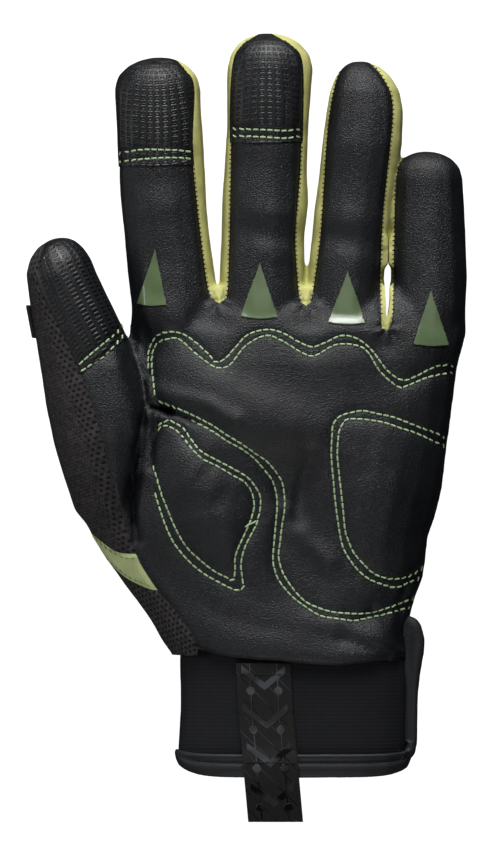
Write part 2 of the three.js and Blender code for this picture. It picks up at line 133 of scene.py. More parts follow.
# %% [markdown]
# The camera looks straight down on the palm, as the photograph does. A long lens keeps the
# sides of the fingers hidden, and its height is set so that one pixel is a third of a
# millimetre at the middle of the glove's depth.

# %% Camera
PHOTO_HEIGHT = 845
SENSOR = 36.0
LENS = 600.0
MIDDLE_DEPTH = 18 * MM
CAMERA_AIM = metres([1.17, 2.17])
camera_height = MIDDLE_DEPTH + PHOTO_HEIGHT * PIXEL * LENS / SENSOR
bpy.ops.object.camera_add(location=(*CAMERA_AIM, camera_height), rotation=(0, 0, 0))
camera = bpy.context.object
camera.data.lens = LENS
camera.data.sensor_width = SENSOR
camera.data.clip_end = 20
bpy.context.scene.camera = camera
print("camera height", round(camera_height, 3))

# %% [markdown]
# The skin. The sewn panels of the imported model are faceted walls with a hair's gap between
# them. Copies of them are swollen until they touch, melted into one wall by a voxel remesh
# and relaxed, which leaves one smooth hollow glove of the same size.

# %% Melt the panels into one skin
SWELL = 0.26 * MM
VOXEL = 0.78 * MM
RELAX_ROUNDS = 22
PANELS = ["palm_panel", "index_tip_patch", "middle_tip_patch", "thumb_tip_patch", "thumb_front",
          "thumb_mesh", "thumb_band", "wrist_mesh", "fourchette_index_middle",
          "fourchette_middle_ring", "fourchette_ring_little", "back_panel"]


def melt(names, name, voxel, swell, relax):
    """One smooth body from copies of CAD nodes."""
    copies = [duplicate(nodes[each], f"{name}_{each}") for each in names]
    bpy.ops.object.select_all(action="DESELECT")
    for copy in copies:
        copy.select_set(True)
    bpy.context.view_layer.objects.active = copies[0]
    if len(copies) > 1:
        bpy.ops.object.join()
    body = bpy.context.view_layer.objects.active
    body.name = body.data.name = name
    bpy.ops.object.mode_set(mode="EDIT")
    bpy.ops.mesh.select_all(action="SELECT")
    bpy.ops.mesh.remove_doubles(threshold=1e-6)
    bpy.ops.mesh.normals_make_consistent(inside=False)
    bpy.ops.transform.shrink_fatten(value=swell)
    bpy.ops.object.mode_set(mode="OBJECT")
    body.data.remesh_voxel_size = voxel
    bpy.ops.object.voxel_remesh()
    modifier(body, "SMOOTH", iterations=relax, factor=0.5)
    return body


skin = melt(PANELS, "skin", VOXEL, SWELL, RELAX_ROUNDS)
print("skin", len(skin.data.vertices), "vertices", round(time.time() - started, 1), "s")

# %% [markdown]
# The outer face is told from the lining: a place on it sees open air straight above or below,
# or a little aslant, while every place inside the glove looks at a wall.

# %% Find the outer face
RAY_START = 0.15 * MM
LEAST_FACING = -0.2
WAYS_OUT = [Vector(way) for way in [(0, 0, 1), (0, 0, -1), (0.35, 0, 1), (-0.35, 0, 1),
                                    (0.35, 0, -1), (-0.35, 0, -1)]]


def outer_face(body):
    """True for each vertex from which a ray leaves the body without touching it."""
    tree = BVHTree.FromObject(body, bpy.context.evaluated_depsgraph_get())
    facing = normals(body)
    found = np.zeros(len(facing), dtype=bool)
    for i, (spot, normal) in enumerate(zip(corners(body) + facing * RAY_START, facing)):
        start, out = Vector(spot), Vector(normal)
        found[i] = any(way.dot(out) > LEAST_FACING and tree.ray_cast(start, way)[0] is None
                       for way in WAYS_OUT)
    return found


outside = outer_face(skin)
print("outer vertices", int(outside.sum()), "of", len(outside))

# %% [markdown]
# The pattern: seams between the panels, and the lines of decorative stitching on the palm.
# Each is a list of points that a smooth curve runs through, so a line is changed by moving
# a point or two.

# %% Seams
SEAMS = {
    "index_right": [(-24.8, 124.4), (-20.8, 119.7), (-17.8, 114), (-18.2, 94.7), (-16.3, 73.3),
                    (-13.6, 51.3), (-12, 43.8)],
    "middle_left": [(5.0, 132.6), (-1.2, 128), (-4.2, 122), (-5.2, 107.3), (-5.2, 90), (-6, 52),
                    (-6.6, 43.8)],
    "middle_right": [(7.8, 132.4), (14.5, 128), (18.2, 122.6), (18.6, 106), (17.8, 84),
                     (16.3, 64.7), (17, 49.7), (18, 42.3)],
    "ring_left": [(32.6, 122.6), (29.5, 114.7), (27.2, 101), (25.8, 82), (24.8, 66.3),
                  (23.2, 53), (21.5, 42.3)],
    "ring_right": [(39.4, 124), (45.4, 117.3), (48.8, 107.3), (46.8, 84), (45.5, 71.3),
                   (44.6, 50), (45, 33.7)],
    "little_left": [(55.6, 93.8), (51.2, 88.7), (49.8, 81.3), (49.2, 61.3), (48.8, 41.3),
                    (48.2, 34.7)],
    "thumb_to_palm": [(-46, 46), (-39.5, 32), (-35.5, 27.7), (-32.6, 19), (-31.6, 8),
                      (-33.8, -4), (-37.2, -17.7), (-38.2, -28), (-36.8, -41.3)],
    "leather_left": [(-36.8, -41.3), (-34.8, -45.7), (-29.5, -53.7), (-23.5, -60.7),
                     (-18.5, -67.7), (-16.2, -73)],
    "hem": [(-16.2, -73), (-11.8, -74.7), (-4.8, -76), (12.2, -77.3), (30.5, -78.6),
            (44.8, -76.9), (50.2, -77.6), (54.6, -76)],
    "mesh": [(-64, 70), (-68.8, 55.7), (-68.4, 47), (-60.5, 31.3), (-54.6, 17.5), (-49.2, 1.3),
             (-43.5, -22.3), (-36.8, -41.3)],
    "band_top": [(-60, -27.5), (-53.8, -33), (-47.3, -38.3), (-42.8, -41), (-36.8, -41.6)],
    "band_low": [(-54.5, -35.2), (-50.2, -38.4), (-47.2, -42.7), (-41.3, -48.7),
                 (-33.8, -52.7), (-29.5, -53.7)],
}
PATCH_EDGES = {
    "index": [(-50, 87.6), (-42.8, 87.6), (-30, 87.8), (-10, 88.3)],
    "middle": [(-12, 95.9), (-5.5, 95.6), (5.2, 95.2), (18.5, 96), (26, 96.4)],
    "thumb": [(-63, 12), (-55.5, 18), (-47.5, 24.3), (-40.2, 30.3), (-33, 37)],
}
# Seam between the front panels and the back: height z at y
BACK_SEAM = [(150, 7.5), (60, 8.5), (30, 11.5), (-40, 12.5), (-90, 12.5)]
seam = {name: smooth(points) for name, points in SEAMS.items()}
patch_edge = {name: smooth(points) for name, points in PATCH_EDGES.items()}
print(len(seam), "seams")

# %% Lines of stitching
STITCH_LINES = {
    "wave_outer": [(-32.3, 13), (-32.7, 23), (-32.2, 27), (-29.8, 31), (-25.8, 32.3),
                   (-21.5, 31.7), (-17.2, 29), (-12.5, 24.7), (-10.2, 22.3), (-7.2, 23.3),
                   (-3.5, 27.3), (0.5, 31.3), (6.5, 33), (11.8, 32), (17.8, 28.7), (22, 27.3),
                   (26.2, 28.7), (31.5, 31), (36.8, 30), (41.5, 26.3), (47, 19.3), (51.8, 16.3),
                   (55.8, 17.3), (63.7, 21), (69.5, 21)],
    "wave_inner": [(-30.5, 11), (-31.5, 23), (-29.8, 28.3), (-25.8, 30), (-22.2, 29.7),
                   (-17.2, 25.3), (-12.5, 21.7), (-9.5, 20.3), (-5.5, 21.3), (-0.2, 27.7),
                   (6.5, 31), (11.8, 29.3), (17.8, 25.7), (22.5, 24.3), (29.8, 28),
                   (36.8, 27.7), (40.5, 25.3), (44.5, 19), (50.5, 14), (54.2, 14.7),
                   (60.8, 17.3), (69.2, 19)],
    "main_right": [(-29.5, 9.3), (-25.8, 8), (-20.2, 5.7), (-15.2, 3.3), (-11, 1), (-6.5, -2),
                   (-1.5, -5), (2.8, -8), (6.7, -10.7), (9.8, -14.3), (11.8, -17.7),
                   (12.6, -22.3), (12.6, -27), (11.8, -32.3), (11.2, -37.3), (10.7, -42.7),
                   (12.2, -48), (15.2, -52.7), (18.8, -56.7), (22.8, -59), (28.2, -60.7),
                   (34.2, -61.3), (39.8, -61.3), (44.8, -60.2), (51.2, -58), (56.4, -55.9)],
    "main_left": [(-18.5, 3), (-15.2, 1.3), (-11, -1), (-6.5, -4), (-1.5, -6.7), (2.8, -10),
                  (6.3, -14), (8.5, -17), (9.8, -21), (10.2, -25.3), (9.8, -30.7),
                  (9.2, -37.3), (8.8, -43.3), (9.5, -47.3), (11.2, -51), (15.2, -55.7),
                  (19.5, -59), (24.5, -62), (30, -63), (35.8, -63.7), (41.2, -62.7),
                  (47.2, -61.3), (55.2, -59)],
    "thenar_outer": [(-29.8, 1), (-26.2, 2.7), (-23.8, 2), (-20.8, 0), (-18.5, -3.3),
                     (-15.2, -7.3), (-10, -10.3), (-4.8, -13), (0.2, -16), (2.8, -19),
                     (4.5, -22.3), (4.6, -26), (3.8, -30), (2.8, -32.7), (-0.5, -39.3),
                     (-1.8, -45), (-1.3, -50), (-1.2, -52.7), (-3.5, -53.5), (-6.5, -52.3),
                     (-10.3, -50.3), (-13.8, -48.3), (-17.8, -45.2), (-21.8, -41),
                     (-24.8, -36.7), (-27.3, -31), (-29.2, -25.3), (-30.5, -21)],
    "thenar_inner": [(-29.8, -0.7), (-27.3, 1), (-24.2, 0), (-21.5, -2.3), (-17.8, -7),
                     (-14.5, -10), (-9.5, -12.5), (-4.8, -15.3), (-1.2, -17.3), (1.2, -20),
                     (2.2, -22.7), (2.5, -26), (1.5, -30), (-0.2, -34), (-2.8, -39.7),
                     (-3.8, -43), (-3.8, -46.7), (-4.5, -50), (-7.2, -49), (-11, -47),
                     (-15.2, -43.7), (-19.2, -40), (-21.8, -36.3), (-24.2, -31.7),
                     (-26, -27.3), (-28.2, -21.7), (-29.8, -16.3), (-31.2, -12)],
    "hypothenar_outer": [(66.6, -3.4), (63, -1.3), (58.2, 0.3), (53.5, 2.2), (48.5, 4),
                         (43.8, 5), (38.8, 6), (34.2, 5.3), (30.8, 4), (28.8, 1.3),
                         (28.4, -2.7), (28.2, -8.7), (28.8, -16.3), (29.5, -24),
                         (30.5, -31.5), (31.5, -37.3), (33, -41.3), (36.5, -46.3),
                         (40.5, -49.7), (44.2, -51.3), (49.5, -52.7), (53.5, -51.3),
                         (58.2, -49.3)],
    "hypothenar_inner": [(66.6, -6), (61.5, -3.7), (56.2, -1.3), (51.2, 0.3), (46.2, 2),
                         (40.8, 3), (36.2, 3.3), (33.2, 3), (31.2, 0.3), (30.5, -3),
                         (30.2, -8.7), (30.8, -15), (31.5, -21.2), (32.2, -27.7),
                         (32.8, -33.7), (33.8, -37), (35.8, -41.3), (39.5, -45.5),
                         (42.8, -48.3), (47.2, -49.7), (51.2, -49.7), (55.5, -48.3),
                         (59.2, -45.7)],
    "index_upper": [(-43.2, 91.8), (-35, 93), (-29.2, 93), (-23, 92.8), (-18.3, 92.3)],
    "index_lower": [(-43.2, 89), (-35, 89.8), (-29.2, 90.2), (-23, 90.3), (-18.3, 90)],
    "middle_upper": [(-5.1, 100), (1, 99.8), (8, 99.5), (13, 99.3), (18.3, 99.9)],
    "middle_lower": [(-5.1, 97.6), (1, 97.4), (8, 97), (13, 96.8), (18.3, 97.5)],
    "thumb_upper": [(-55.8, 21.3), (-51.8, 24.8), (-46.8, 29), (-43, 32.2), (-41, 35.4)],
    "thumb_lower": [(-55.2, 19), (-51.2, 21.6), (-47.8, 23.8), (-44, 27.6), (-40.6, 31.6)],
}
stitch_line = {name: smooth(points) for name, points in STITCH_LINES.items()}
print(len(stitch_line), "lines of stitching")

# %% [markdown]
# Worn leather is never smooth. Every seam and stitched line pulls it down, the padded
# fields between them puff up, and the bending joints leave folds. Each effect is worked
# out from the distance of a point to a line, in millimetres, and all are added up.

# %% Distances on the pattern
def to_line(places, line):
    """Distance from each place to a drawn line, both in millimetres on the pattern."""
    nearest = np.full(len(places), 1e9)
    for a, b in zip(line[:-1], line[1:]):
        along = b - a
        share = np.clip(((places - a) @ along) / max(along @ along, 1e-9), 0, 1)
        nearest = np.minimum(nearest, ((places - a - share[:, None] * along) ** 2).sum(1))
    return np.sqrt(nearest)


def bell(distance, width):
    """1 on the line, falling smoothly to nothing a few widths away."""
    return np.exp(-((distance / width) ** 2))


def mound(places, x, y, across, along, turn, height):
    """An oval swelling, or a hollow where the height is negative."""
    angle = math.radians(turn)
    dx, dy = places[:, 0] - x, places[:, 1] - y
    u = (dx * math.cos(angle) + dy * math.sin(angle)) / across
    v = (dy * math.cos(angle) - dx * math.sin(angle)) / along
    return height * np.exp(-(u * u + v * v))


print("distance helpers ready")

# %% Folds and swellings of the palm side
# Folds are raised lines, or grooves where the height is negative
FOLDS = [
    {"line": [(-34.2, 2), (-35.8, -8.7), (-37.2, -17.7), (-38.2, -26.3), (-36.6, -37)],
     "width": 1.9, "height": -2.2},
    {"line": [(-32.4, 16), (-31.6, 9.7), (-32.6, 2.3), (-34.6, -6), (-36.6, -14)],
     "width": 1.4, "height": 1.8},
    {"line": [(-31.2, 7.6), (-28.4, 6.8), (-25.6, 5.8)], "width": 1.5, "height": -2.8},
    {"line": [(-26.4, 6.1), (-22.4, 4.6), (-17.5, 2.4)], "width": 1.1, "height": -1.3},
    {"line": [(-30.4, 5), (-31.2, -4), (-32, -13)], "width": 1.4, "height": -1.0},
    {"line": [(-28, 12.6), (-22, 10.6), (-13, 8.2), (-4, 3)], "width": 3.0, "height": 1.3},
    {"line": [(51, -74.5), (42, -69), (31.5, -64)], "width": 2.6, "height": 0.7},
    {"line": [(53, -77), (44, -73.5), (32, -70)], "width": 2.0, "height": -0.8},
    {"line": [(53.5, -72), (49, -65), (42, -60.5)], "width": 1.8, "height": -0.9},
    {"line": [(54, -68), (51.5, -61), (53, -54)], "width": 1.5, "height": -0.8},
    {"line": [(-32, -44), (-14, -59), (6, -66), (30, -69)], "width": 3.5, "height": -0.4},
    {"line": [(14, -28), (19, -36), (27, -44)], "width": 3.6, "height": 1.5},
    {"line": [(22, -8), (18, -22), (16, -30)], "width": 3.8, "height": -1.6},
    {"line": [(-36, -2), (-41, 8), (-44, 20)], "width": 3.0, "height": 0.8},
]
MOUNDS = [
    {"x": -27, "y": 38, "across": 9, "along": 5, "turn": -20, "height": 0.9},
    {"x": -33.5, "y": 30.5, "across": 4.0, "along": 5.0, "turn": 20, "height": -2.2},
    {"x": 5, "y": 36, "across": 10, "along": 4.5, "turn": 0, "height": 0.9},
    {"x": 33, "y": 33, "across": 10, "along": 4.5, "turn": 0, "height": 0.9},
    {"x": 60, "y": 27, "across": 9, "along": 5, "turn": 0, "height": 0.7},
    {"x": -10, "y": 35.5, "across": 6, "along": 3.5, "turn": -15, "height": -0.8},
    {"x": 19.5, "y": 35, "across": 6, "along": 3.5, "turn": 0, "height": -0.8},
    {"x": 46, "y": 28, "across": 5, "along": 4, "turn": 0, "height": -0.9},
    {"x": 9, "y": 71.5, "across": 9, "along": 4.2, "turn": -10, "height": 0.8},
    {"x": 7, "y": 65, "across": 10, "along": 3.8, "turn": -8, "height": -0.7},
    {"x": 9, "y": 58.5, "across": 9, "along": 4.2, "turn": -14, "height": 0.4},
    {"x": 35, "y": 70, "across": 9, "along": 4.4, "turn": -10, "height": 0.7},
    {"x": 33, "y": 63, "across": 10, "along": 4.0, "turn": -8, "height": -0.6},
    {"x": 35, "y": 56, "across": 9, "along": 4.4, "turn": -14, "height": 0.4},
    {"x": -28, "y": 74, "across": 9, "along": 6, "turn": 0, "height": 0.6},
    {"x": -29, "y": 55, "across": 7, "along": 6, "turn": 0, "height": -0.5},
    {"x": -10, "y": 14, "across": 16, "along": 6, "turn": -14, "height": 1.6},
    {"x": 12, "y": 4, "across": 14, "along": 7, "turn": -30, "height": 1.0},
    {"x": -22, "y": -6, "across": 8, "along": 11, "turn": 15, "height": 1.0},
    {"x": -20, "y": -15, "across": 10, "along": 8, "turn": 20, "height": 1.9},
    {"x": 4, "y": 1, "across": 26, "along": 11, "turn": -12, "height": 3.5},
    {"x": -12, "y": -30, "across": 10, "along": 14, "turn": 30, "height": 0.8},
    {"x": 47, "y": -22, "across": 13, "along": 20, "turn": 0, "height": 0.8},
]
print(len(FOLDS), "folds", len(MOUNDS), "swellings")

# %% Dips at the sewing and puckers at the crotches
CROTCHES = {"index_middle": (-9.2, 41.7), "middle_ring": (19.8, 41), "ring_little": (46.6, 32.6)}
PUCKER = {"folds": 5, "height": 0.55, "ring": 1.6, "reach": 2.6}
STITCH_DIP = {"width": 0.6, "depth": 0.38}
QUILT_DIP = {"width": 2.6, "depth": 0.75}
SEAM_DIP = {"width": 0.6, "depth": 0.55}
HEM_DIP = {"width": 1.2, "depth": 0.5}
DEEPEST_DIP = 1.0
# The heel of the palm is tucked in beside the cuff, below and to the right of these lines
HEEL = {"tuck": 1.5, "top": -58, "fade": 12, "left": 44, "side_fade": 9}
# The ring and little fingers touch between these heights, with a slit below them
TOUCH = {"middle": 47.3, "low": 53.6, "high": 66, "reach": 2.5, "half_gap": 0.06}
SLIT = [(47.7, 53.8), (47.9, 48), (47.8, 43), (47.2, 38), (46.4, 37.6), (46.5, 41), (46.2, 45),
        (46.0, 49), (46.9, 52)]
FRONT_SEAMS = ["index_right", "middle_left", "middle_right", "ring_left", "ring_right",
               "little_left", "thumb_to_palm", "leather_left", "mesh", "band_top", "band_low"]


def broad_relief(places):
    """Rise of the whole wall on the palm side, in millimetres, at pattern places."""
    rise = np.zeros(len(places))
    for fold in FOLDS:
        rise += fold["height"] * bell(to_line(places, smooth(fold["line"])), fold["width"])
    for swelling in MOUNDS:
        rise += mound(places, **swelling)
    return rise


def fine_relief(places):
    """Dip of the outer face alone where it is sewn."""
    rise = np.zeros(len(places))
    for line in stitch_line.values():
        distance = to_line(places, line)
        rise -= STITCH_DIP["depth"] * bell(distance, STITCH_DIP["width"])
        rise -= 0.5 * QUILT_DIP["depth"] * bell(distance, QUILT_DIP["width"])
    for name in FRONT_SEAMS:
        rise -= SEAM_DIP["depth"] * bell(to_line(places, seam[name]), SEAM_DIP["width"])
    rise -= HEM_DIP["depth"] * bell(to_line(places, seam["hem"]), HEM_DIP["width"])
    rise = np.maximum(rise, -DEEPEST_DIP)
    for x, y in CROTCHES.values():
        dx, dy = places[:, 0] - x, places[:, 1] - y - 1.0
        folds = np.cos(PUCKER["folds"] * np.arctan2(dy, dx) + 1.0)
        rise += PUCKER["height"] * folds * bell(np.hypot(dx, dy) - PUCKER["ring"],
                                                   PUCKER["reach"])
    return rise


def wander(places, size, strength, seed):
    """Gentle unevenness from a noise of the given size, both in millimetres."""
    offset = Vector((seed, seed * 0.37, -seed))
    values = [noise.noise(Vector(place) / size + offset) for place in places]
    return strength * np.array(values)


print("relief helpers ready")

# %% Shape the skin
# Relief fades out where the face turns sideways and towards the table, where it starts at
# this many layers of this height
TURN_START, TURN_FADE = 0.05, 0.4
LAYER, START_LAYERS = 3, 3
# Unevenness of the whole cloth: size, strength and seed of two noises
WANDERS = [(17, 0.45, 3), (7, 0.07, 8)]
places = corners(skin)
facing = normals(skin)
pattern = places[:, :2] / MM - CENTRING
upright = np.where(outside, facing[:, 2], -facing[:, 2])
front = (np.clip((upright + TURN_START) / TURN_FADE, 0, 1)
         * np.clip(places[:, 2] / (LAYER * MM) - START_LAYERS, 0, 1))
rise = np.zeros(len(places))
shaped = front > 0
broad = front[shaped] * broad_relief(pattern[shaped])
rise[shaped] = np.where(outside[shaped], broad, -broad)
sewn = shaped & outside
rise[sewn] += front[sewn] * fine_relief(pattern[sewn])
rise[outside] += sum(wander(places[outside] / MM, *noises) for noises in WANDERS)
lifted = places + facing * rise[:, None] * MM
lifted[:, 2] = np.maximum(lifted[:, 2], 0)
heel = (np.clip((HEEL["top"] - pattern[:, 1]) / HEEL["fade"], 0, 1)
        * np.clip((pattern[:, 0] - HEEL["left"]) / HEEL["side_fade"], 0, 1))
lifted[:, 0] -= HEEL["tuck"] * MM * heel
shut = (np.clip((pattern[:, 1] - TOUCH["low"]) / 1.5, 0, 1)
        * np.clip((TOUCH["high"] - pattern[:, 1]) / 3, 0, 1)
        * (np.abs(pattern[:, 0] - TOUCH["middle"]) < TOUCH["reach"])
        * (np.abs(facing[:, 0]) > 0.3))
side = TOUCH["middle"] - TOUCH["half_gap"] * np.sign(facing[:, 0])
goal = (side + CENTRING[0]) * MM
apart = (goal - lifted[:, 0]) * facing[:, 0] > 0
lifted[:, 0] += np.where(outside & apart, shut * (goal - lifted[:, 0]), 0)
move_to(skin, lifted)
modifier(skin, "SMOOTH", iterations=1, factor=0.5)
print("relief from", round(rise.min(), 2), "to", round(rise.max(), 2), "mm",
      round(time.time() - started, 1), "s")

# %% [markdown]
# The skin is now cut along its seams. Each region of the pattern is drawn as a closed
# outline, raised into a block and used as a cutter, which is how a press knife cuts leather.

# %% Cutters
LOW, HIGH = -20 * MM, 80 * MM
LEAST_STEP = 0.02 * MM
WEDGE_HALF = 0.2


def block(outline, name="cutter"):
    """A solid block over a closed outline of the pattern."""
    points = metres(outline)
    ahead = np.linalg.norm(points - np.roll(points, -1, axis=0), axis=1)
    points = points[ahead > LEAST_STEP]
    bpy.ops.mesh.primitive_circle_add(vertices=len(points), radius=0.1, fill_type="NGON")
    cutter = bpy.context.object
    cutter.name = name
    move_to(cutter, np.column_stack([points, np.full(len(points), LOW)]))
    bpy.ops.object.mode_set(mode="EDIT")
    bpy.ops.mesh.select_all(action="SELECT")
    bpy.ops.mesh.extrude_region_move(TRANSFORM_OT_translate={"value": (0, 0, HIGH - LOW)})
    bpy.ops.mesh.select_all(action="SELECT")
    bpy.ops.mesh.quads_convert_to_tris(ngon_method="CLIP")
    bpy.ops.mesh.normals_make_consistent(inside=False)
    bpy.ops.object.mode_set(mode="OBJECT")
    return cutter


def cut(body, cutter, operation):
    """Cuts a closed body with a closed cutter."""
    modifier(body, "BOOLEAN", object=cutter, operation=operation, solver="MANIFOLD")


def take(body, outlines, name, operation="INTERSECT"):
    """A copy of the body inside the outlines, or what is left outside them."""
    piece = duplicate(body, name)
    for outline in outlines:
        cutter = block(outline)
        cut(piece, cutter, operation)
        bpy.data.objects.remove(cutter)
    return piece


def back_block():
    """The space below the seam of the back, as a wide wedge."""
    bpy.ops.mesh.primitive_circle_add(vertices=len(BACK_SEAM) + 2, radius=0.1, fill_type="NGON")
    wedge = bpy.context.object
    wedge.name = "below_back_seam"
    profile = [(-WEDGE_HALF, y * MM, z * MM) for y, z in BACK_SEAM]
    profile += [(-WEDGE_HALF, BACK_SEAM[i][0] * MM, LOW) for i in (-1, 0)]
    move_to(wedge, np.array(profile))
    bpy.ops.object.mode_set(mode="EDIT")
    bpy.ops.mesh.select_all(action="SELECT")
    bpy.ops.mesh.extrude_region_move(TRANSFORM_OT_translate={"value": (2 * WEDGE_HALF, 0, 0)})
    bpy.ops.mesh.select_all(action="SELECT")
    bpy.ops.mesh.normals_make_consistent(inside=False)
    bpy.ops.object.mode_set(mode="OBJECT")
    return wedge


slit = block(SLIT, "slit")
cut(skin, slit, "DIFFERENCE")
bpy.data.objects.remove(slit)
wedge = back_block()
upper = duplicate(skin, "upper")
cut(upper, wedge, "DIFFERENCE")
back = duplicate(skin, "back_panel_cloth")
cut(back, wedge, "INTERSECT")
bpy.data.objects.remove(wedge)
print("upper", len(upper.data.vertices), "back", len(back.data.vertices))

# %% [markdown]
# A sewn panel is bounded by its seams, so its outline is made by joining seams end to end. Off
# the glove the outline may run anywhere, and there it goes round in a few straight steps.

# %% Panel outlines
# How far the outlines reach past the fingertips, the thumb and the cuff
TOP, LEFT, BOTTOM = 140, -90, -140


def joined(*parts):
    """Several runs of points as one outline."""
    return np.vstack([np.asarray(part, dtype=float) for part in parts])


def between(line, low, high):
    """The part of a line between two heights."""
    return line[(line[:, 1] > low) & (line[:, 1] < high)]


OUTLINES = {
    "thumb": joined([(-64, 75), (-47, 66)], seam["thumb_to_palm"], seam["mesh"][::-1]),
    "mesh": joined(seam["mesh"], seam["band_top"][::-1], [(LEFT, -27.5), (LEFT, 75)]),
    "band": joined(seam["band_top"][::-1], [(LEFT, -27.5), (LEFT, -35.2)], seam["band_low"],
                   between(seam["leather_left"], -53.2, -42)[::-1]),
    "wrist": joined(seam["band_low"], between(seam["leather_left"], -80, -54.2),
                    [(-16.2, -100), (LEFT, -100), (LEFT, -35.2)]),
    "index_middle": joined(seam["index_right"], [CROTCHES["index_middle"]],
                           seam["middle_left"][::-1], [(6.4, TOP), (-24.8, TOP)]),
    "middle_ring": joined(seam["middle_right"], [CROTCHES["middle_ring"]],
                          seam["ring_left"][::-1], [(32.6, TOP), (6.4, TOP)]),
    "ring_little": joined(seam["ring_right"], [CROTCHES["ring_little"]],
                          seam["little_left"][::-1], [(55.6, 110), (39.4, TOP)]),
    "below_hem": joined(seam["hem"], [(90, -76), (90, BOTTOM), (-60, BOTTOM), (-16.2, -100)]),
    "below_mesh": joined([(-16, -75.4), (-25, -75.2), (-28, -74), (LEFT, -73.5), (LEFT, -120),
                          (-16, -120)]),
    "index_tip": joined(patch_edge["index"], [(-10, TOP), (-50, TOP)]),
    "middle_tip": joined(patch_edge["middle"], [(26, TOP), (-12, TOP)]),
    "thumb_tip": joined(patch_edge["thumb"], [(-33, 80), (-80, 80), (-80, 12)]),
}
print(len(OUTLINES), "outlines")

# %% Cut the panels
FOURCHETTES = ["index_middle", "middle_ring", "ring_little"]
leather = take(upper, [OUTLINES[name] for name in ["thumb", "mesh", "band", "wrist", "below_hem",
                                                   *FOURCHETTES]], "leather", "DIFFERENCE")
index_tip = take(leather, [OUTLINES["index_tip"]], "index_grip")
middle_tip = take(leather, [OUTLINES["middle_tip"]], "middle_grip")
palm = take(leather, [OUTLINES["index_tip"], OUTLINES["middle_tip"]], "palm_leather", "DIFFERENCE")
thumb_all = take(upper, [OUTLINES["thumb"]], "thumb_all")
thumb_tip = take(thumb_all, [OUTLINES["thumb_tip"]], "thumb_grip")
thumb = take(thumb_all, [OUTLINES["thumb_tip"]], "thumb_leather", "DIFFERENCE")
side_mesh = take(upper, [OUTLINES["mesh"]], "thumb_side_mesh")
band = take(upper, [OUTLINES["band"]], "green_band")
wrist_all = take(upper, [OUTLINES["wrist"]], "wrist_all")
wrist_mesh = take(wrist_all, [OUTLINES["below_mesh"]], "wrist_side_mesh", "DIFFERENCE")
strips = {name: take(upper, [OUTLINES[name]], f"finger_side_{name}") for name in FOURCHETTES}
for spare in (leather, thumb_all, wrist_all, upper, skin):
    bpy.data.objects.remove(spare)
print("palm", len(palm.data.vertices), "vertices", round(time.time() - started, 1), "s")

# %% [markdown]
# The deepest creases look black, because no light reaches their bottom. Carving them so deep
# would tear the thin wall, so their shade is painted: each vertex is told how deep in the shade
# of a fold it lies, and the colour of the leather and the green cloth reads that number.

# %% Paint the shade of the creases
# The folds that no light reaches into
SHADED_CREASES = [
    {"line": [(-31.6, 7.4), (-27.8, 6.3), (-25.4, 5.6)], "width": 0.8, "shade": 0.95},
    {"line": [(-25.4, 5.6), (-22.4, 4.6), (-20.2, 3.7)], "width": 0.5, "shade": 0.7},
    {"line": [(-36.0, -9), (-37.2, -16), (-38.0, -24), (-37.6, -31)], "width": 1.3, "shade": 0.7},
    {"line": [(-33.9, 9), (-34.3, 1), (-36.0, -9)], "width": 1.1, "shade": 0.5},
    {"line": [(-31.2, 5.4), (-31.0, -1), (-31.4, -8)], "width": 0.9, "shade": 0.5},
]
for x, y in CROTCHES.values():
    SHADED_CREASES += [{"line": [(x - 2.0, y + 4.4), (x - 0.4, y + 1.6)], "width": 0.4, "shade": 0.5},
                {"line": [(x + 1.7, y + 5.0), (x + 0.9, y + 1.2)], "width": 0.4, "shade": 0.6}]


def paint_crease_shade(piece):
    """Stores how deep each vertex lies in the creases, for the painted shade in its colour."""
    spots = corners(piece)[:, :2] / MM - CENTRING
    depth = np.zeros(len(spots))
    for crease_shade in SHADED_CREASES:
        near = bell(to_line(spots, smooth(crease_shade["line"])), crease_shade["width"])
        depth = np.maximum(depth, crease_shade["shade"] * near)
    layer = piece.data.attributes.new("crease_shade", "FLOAT", "POINT")
    layer.data.foreach_set("value", depth)


for piece in (palm, thumb, *strips.values()):
    paint_crease_shade(piece)
print(len(SHADED_CREASES), "creases marked")

# %% [markdown]
# The grip patches are a second layer of leather sewn over the fingertips, so their outer face
# is lifted by that layer's thickness. A lift along the normals would also fatten the lining,
# and this one goes away from the middle line of the finger.

# %% Lift the grip patches
PATCH_RISE = 0.4
THUMB_TURN = 28


def raise_outer(piece, rise, turn=0.0):
    """Lifts the outer face of a piece away from the middle line of its finger."""
    spots, angle = corners(piece), math.radians(turn)
    along = np.array([-math.sin(angle), math.cos(angle), 0])
    out = spots - (spots.min(0) + spots.max(0)) / 2
    out -= np.outer(out @ along, along)
    out /= np.linalg.norm(out, axis=1)[:, None] + 1e-9
    share = np.clip((normals(piece) * out).sum(1) / 0.3, 0, 1)
    move_to(piece, spots + out * (share * rise * MM)[:, None])


raise_outer(index_tip, PATCH_RISE)
raise_outer(middle_tip, PATCH_RISE)
raise_outer(thumb_tip, PATCH_RISE, THUMB_TURN)
print("patches lifted", PATCH_RISE, "mm")

# %% [markdown]
# The back is one large piece of stretch cloth. Its lower corner ends at the cuff, so what
# reaches past it is cut off. It is plain, so a fifth of its triangles can go.

# %% Trim the back
BACK_CORNER = [(-21.5, -74.6), (-21.5, -90), (-60, -90), (-60, -73.5)]
BACK_SHARE_KEPT = 0.8
corner_block = block(BACK_CORNER)
cut(back, corner_block, "DIFFERENCE")
modifier(back, "DECIMATE", ratio=BACK_SHARE_KEPT)
bpy.data.objects.remove(corner_block)
print("back", len(back.data.vertices), "vertices", round(time.time() - started, 1), "s")

# %% [markdown]
# Finishes. Every material is built from nodes, with its pattern in real millimetres. A small
# kit makes the node work short: a bump made of layers, and colours mixed by a pattern.

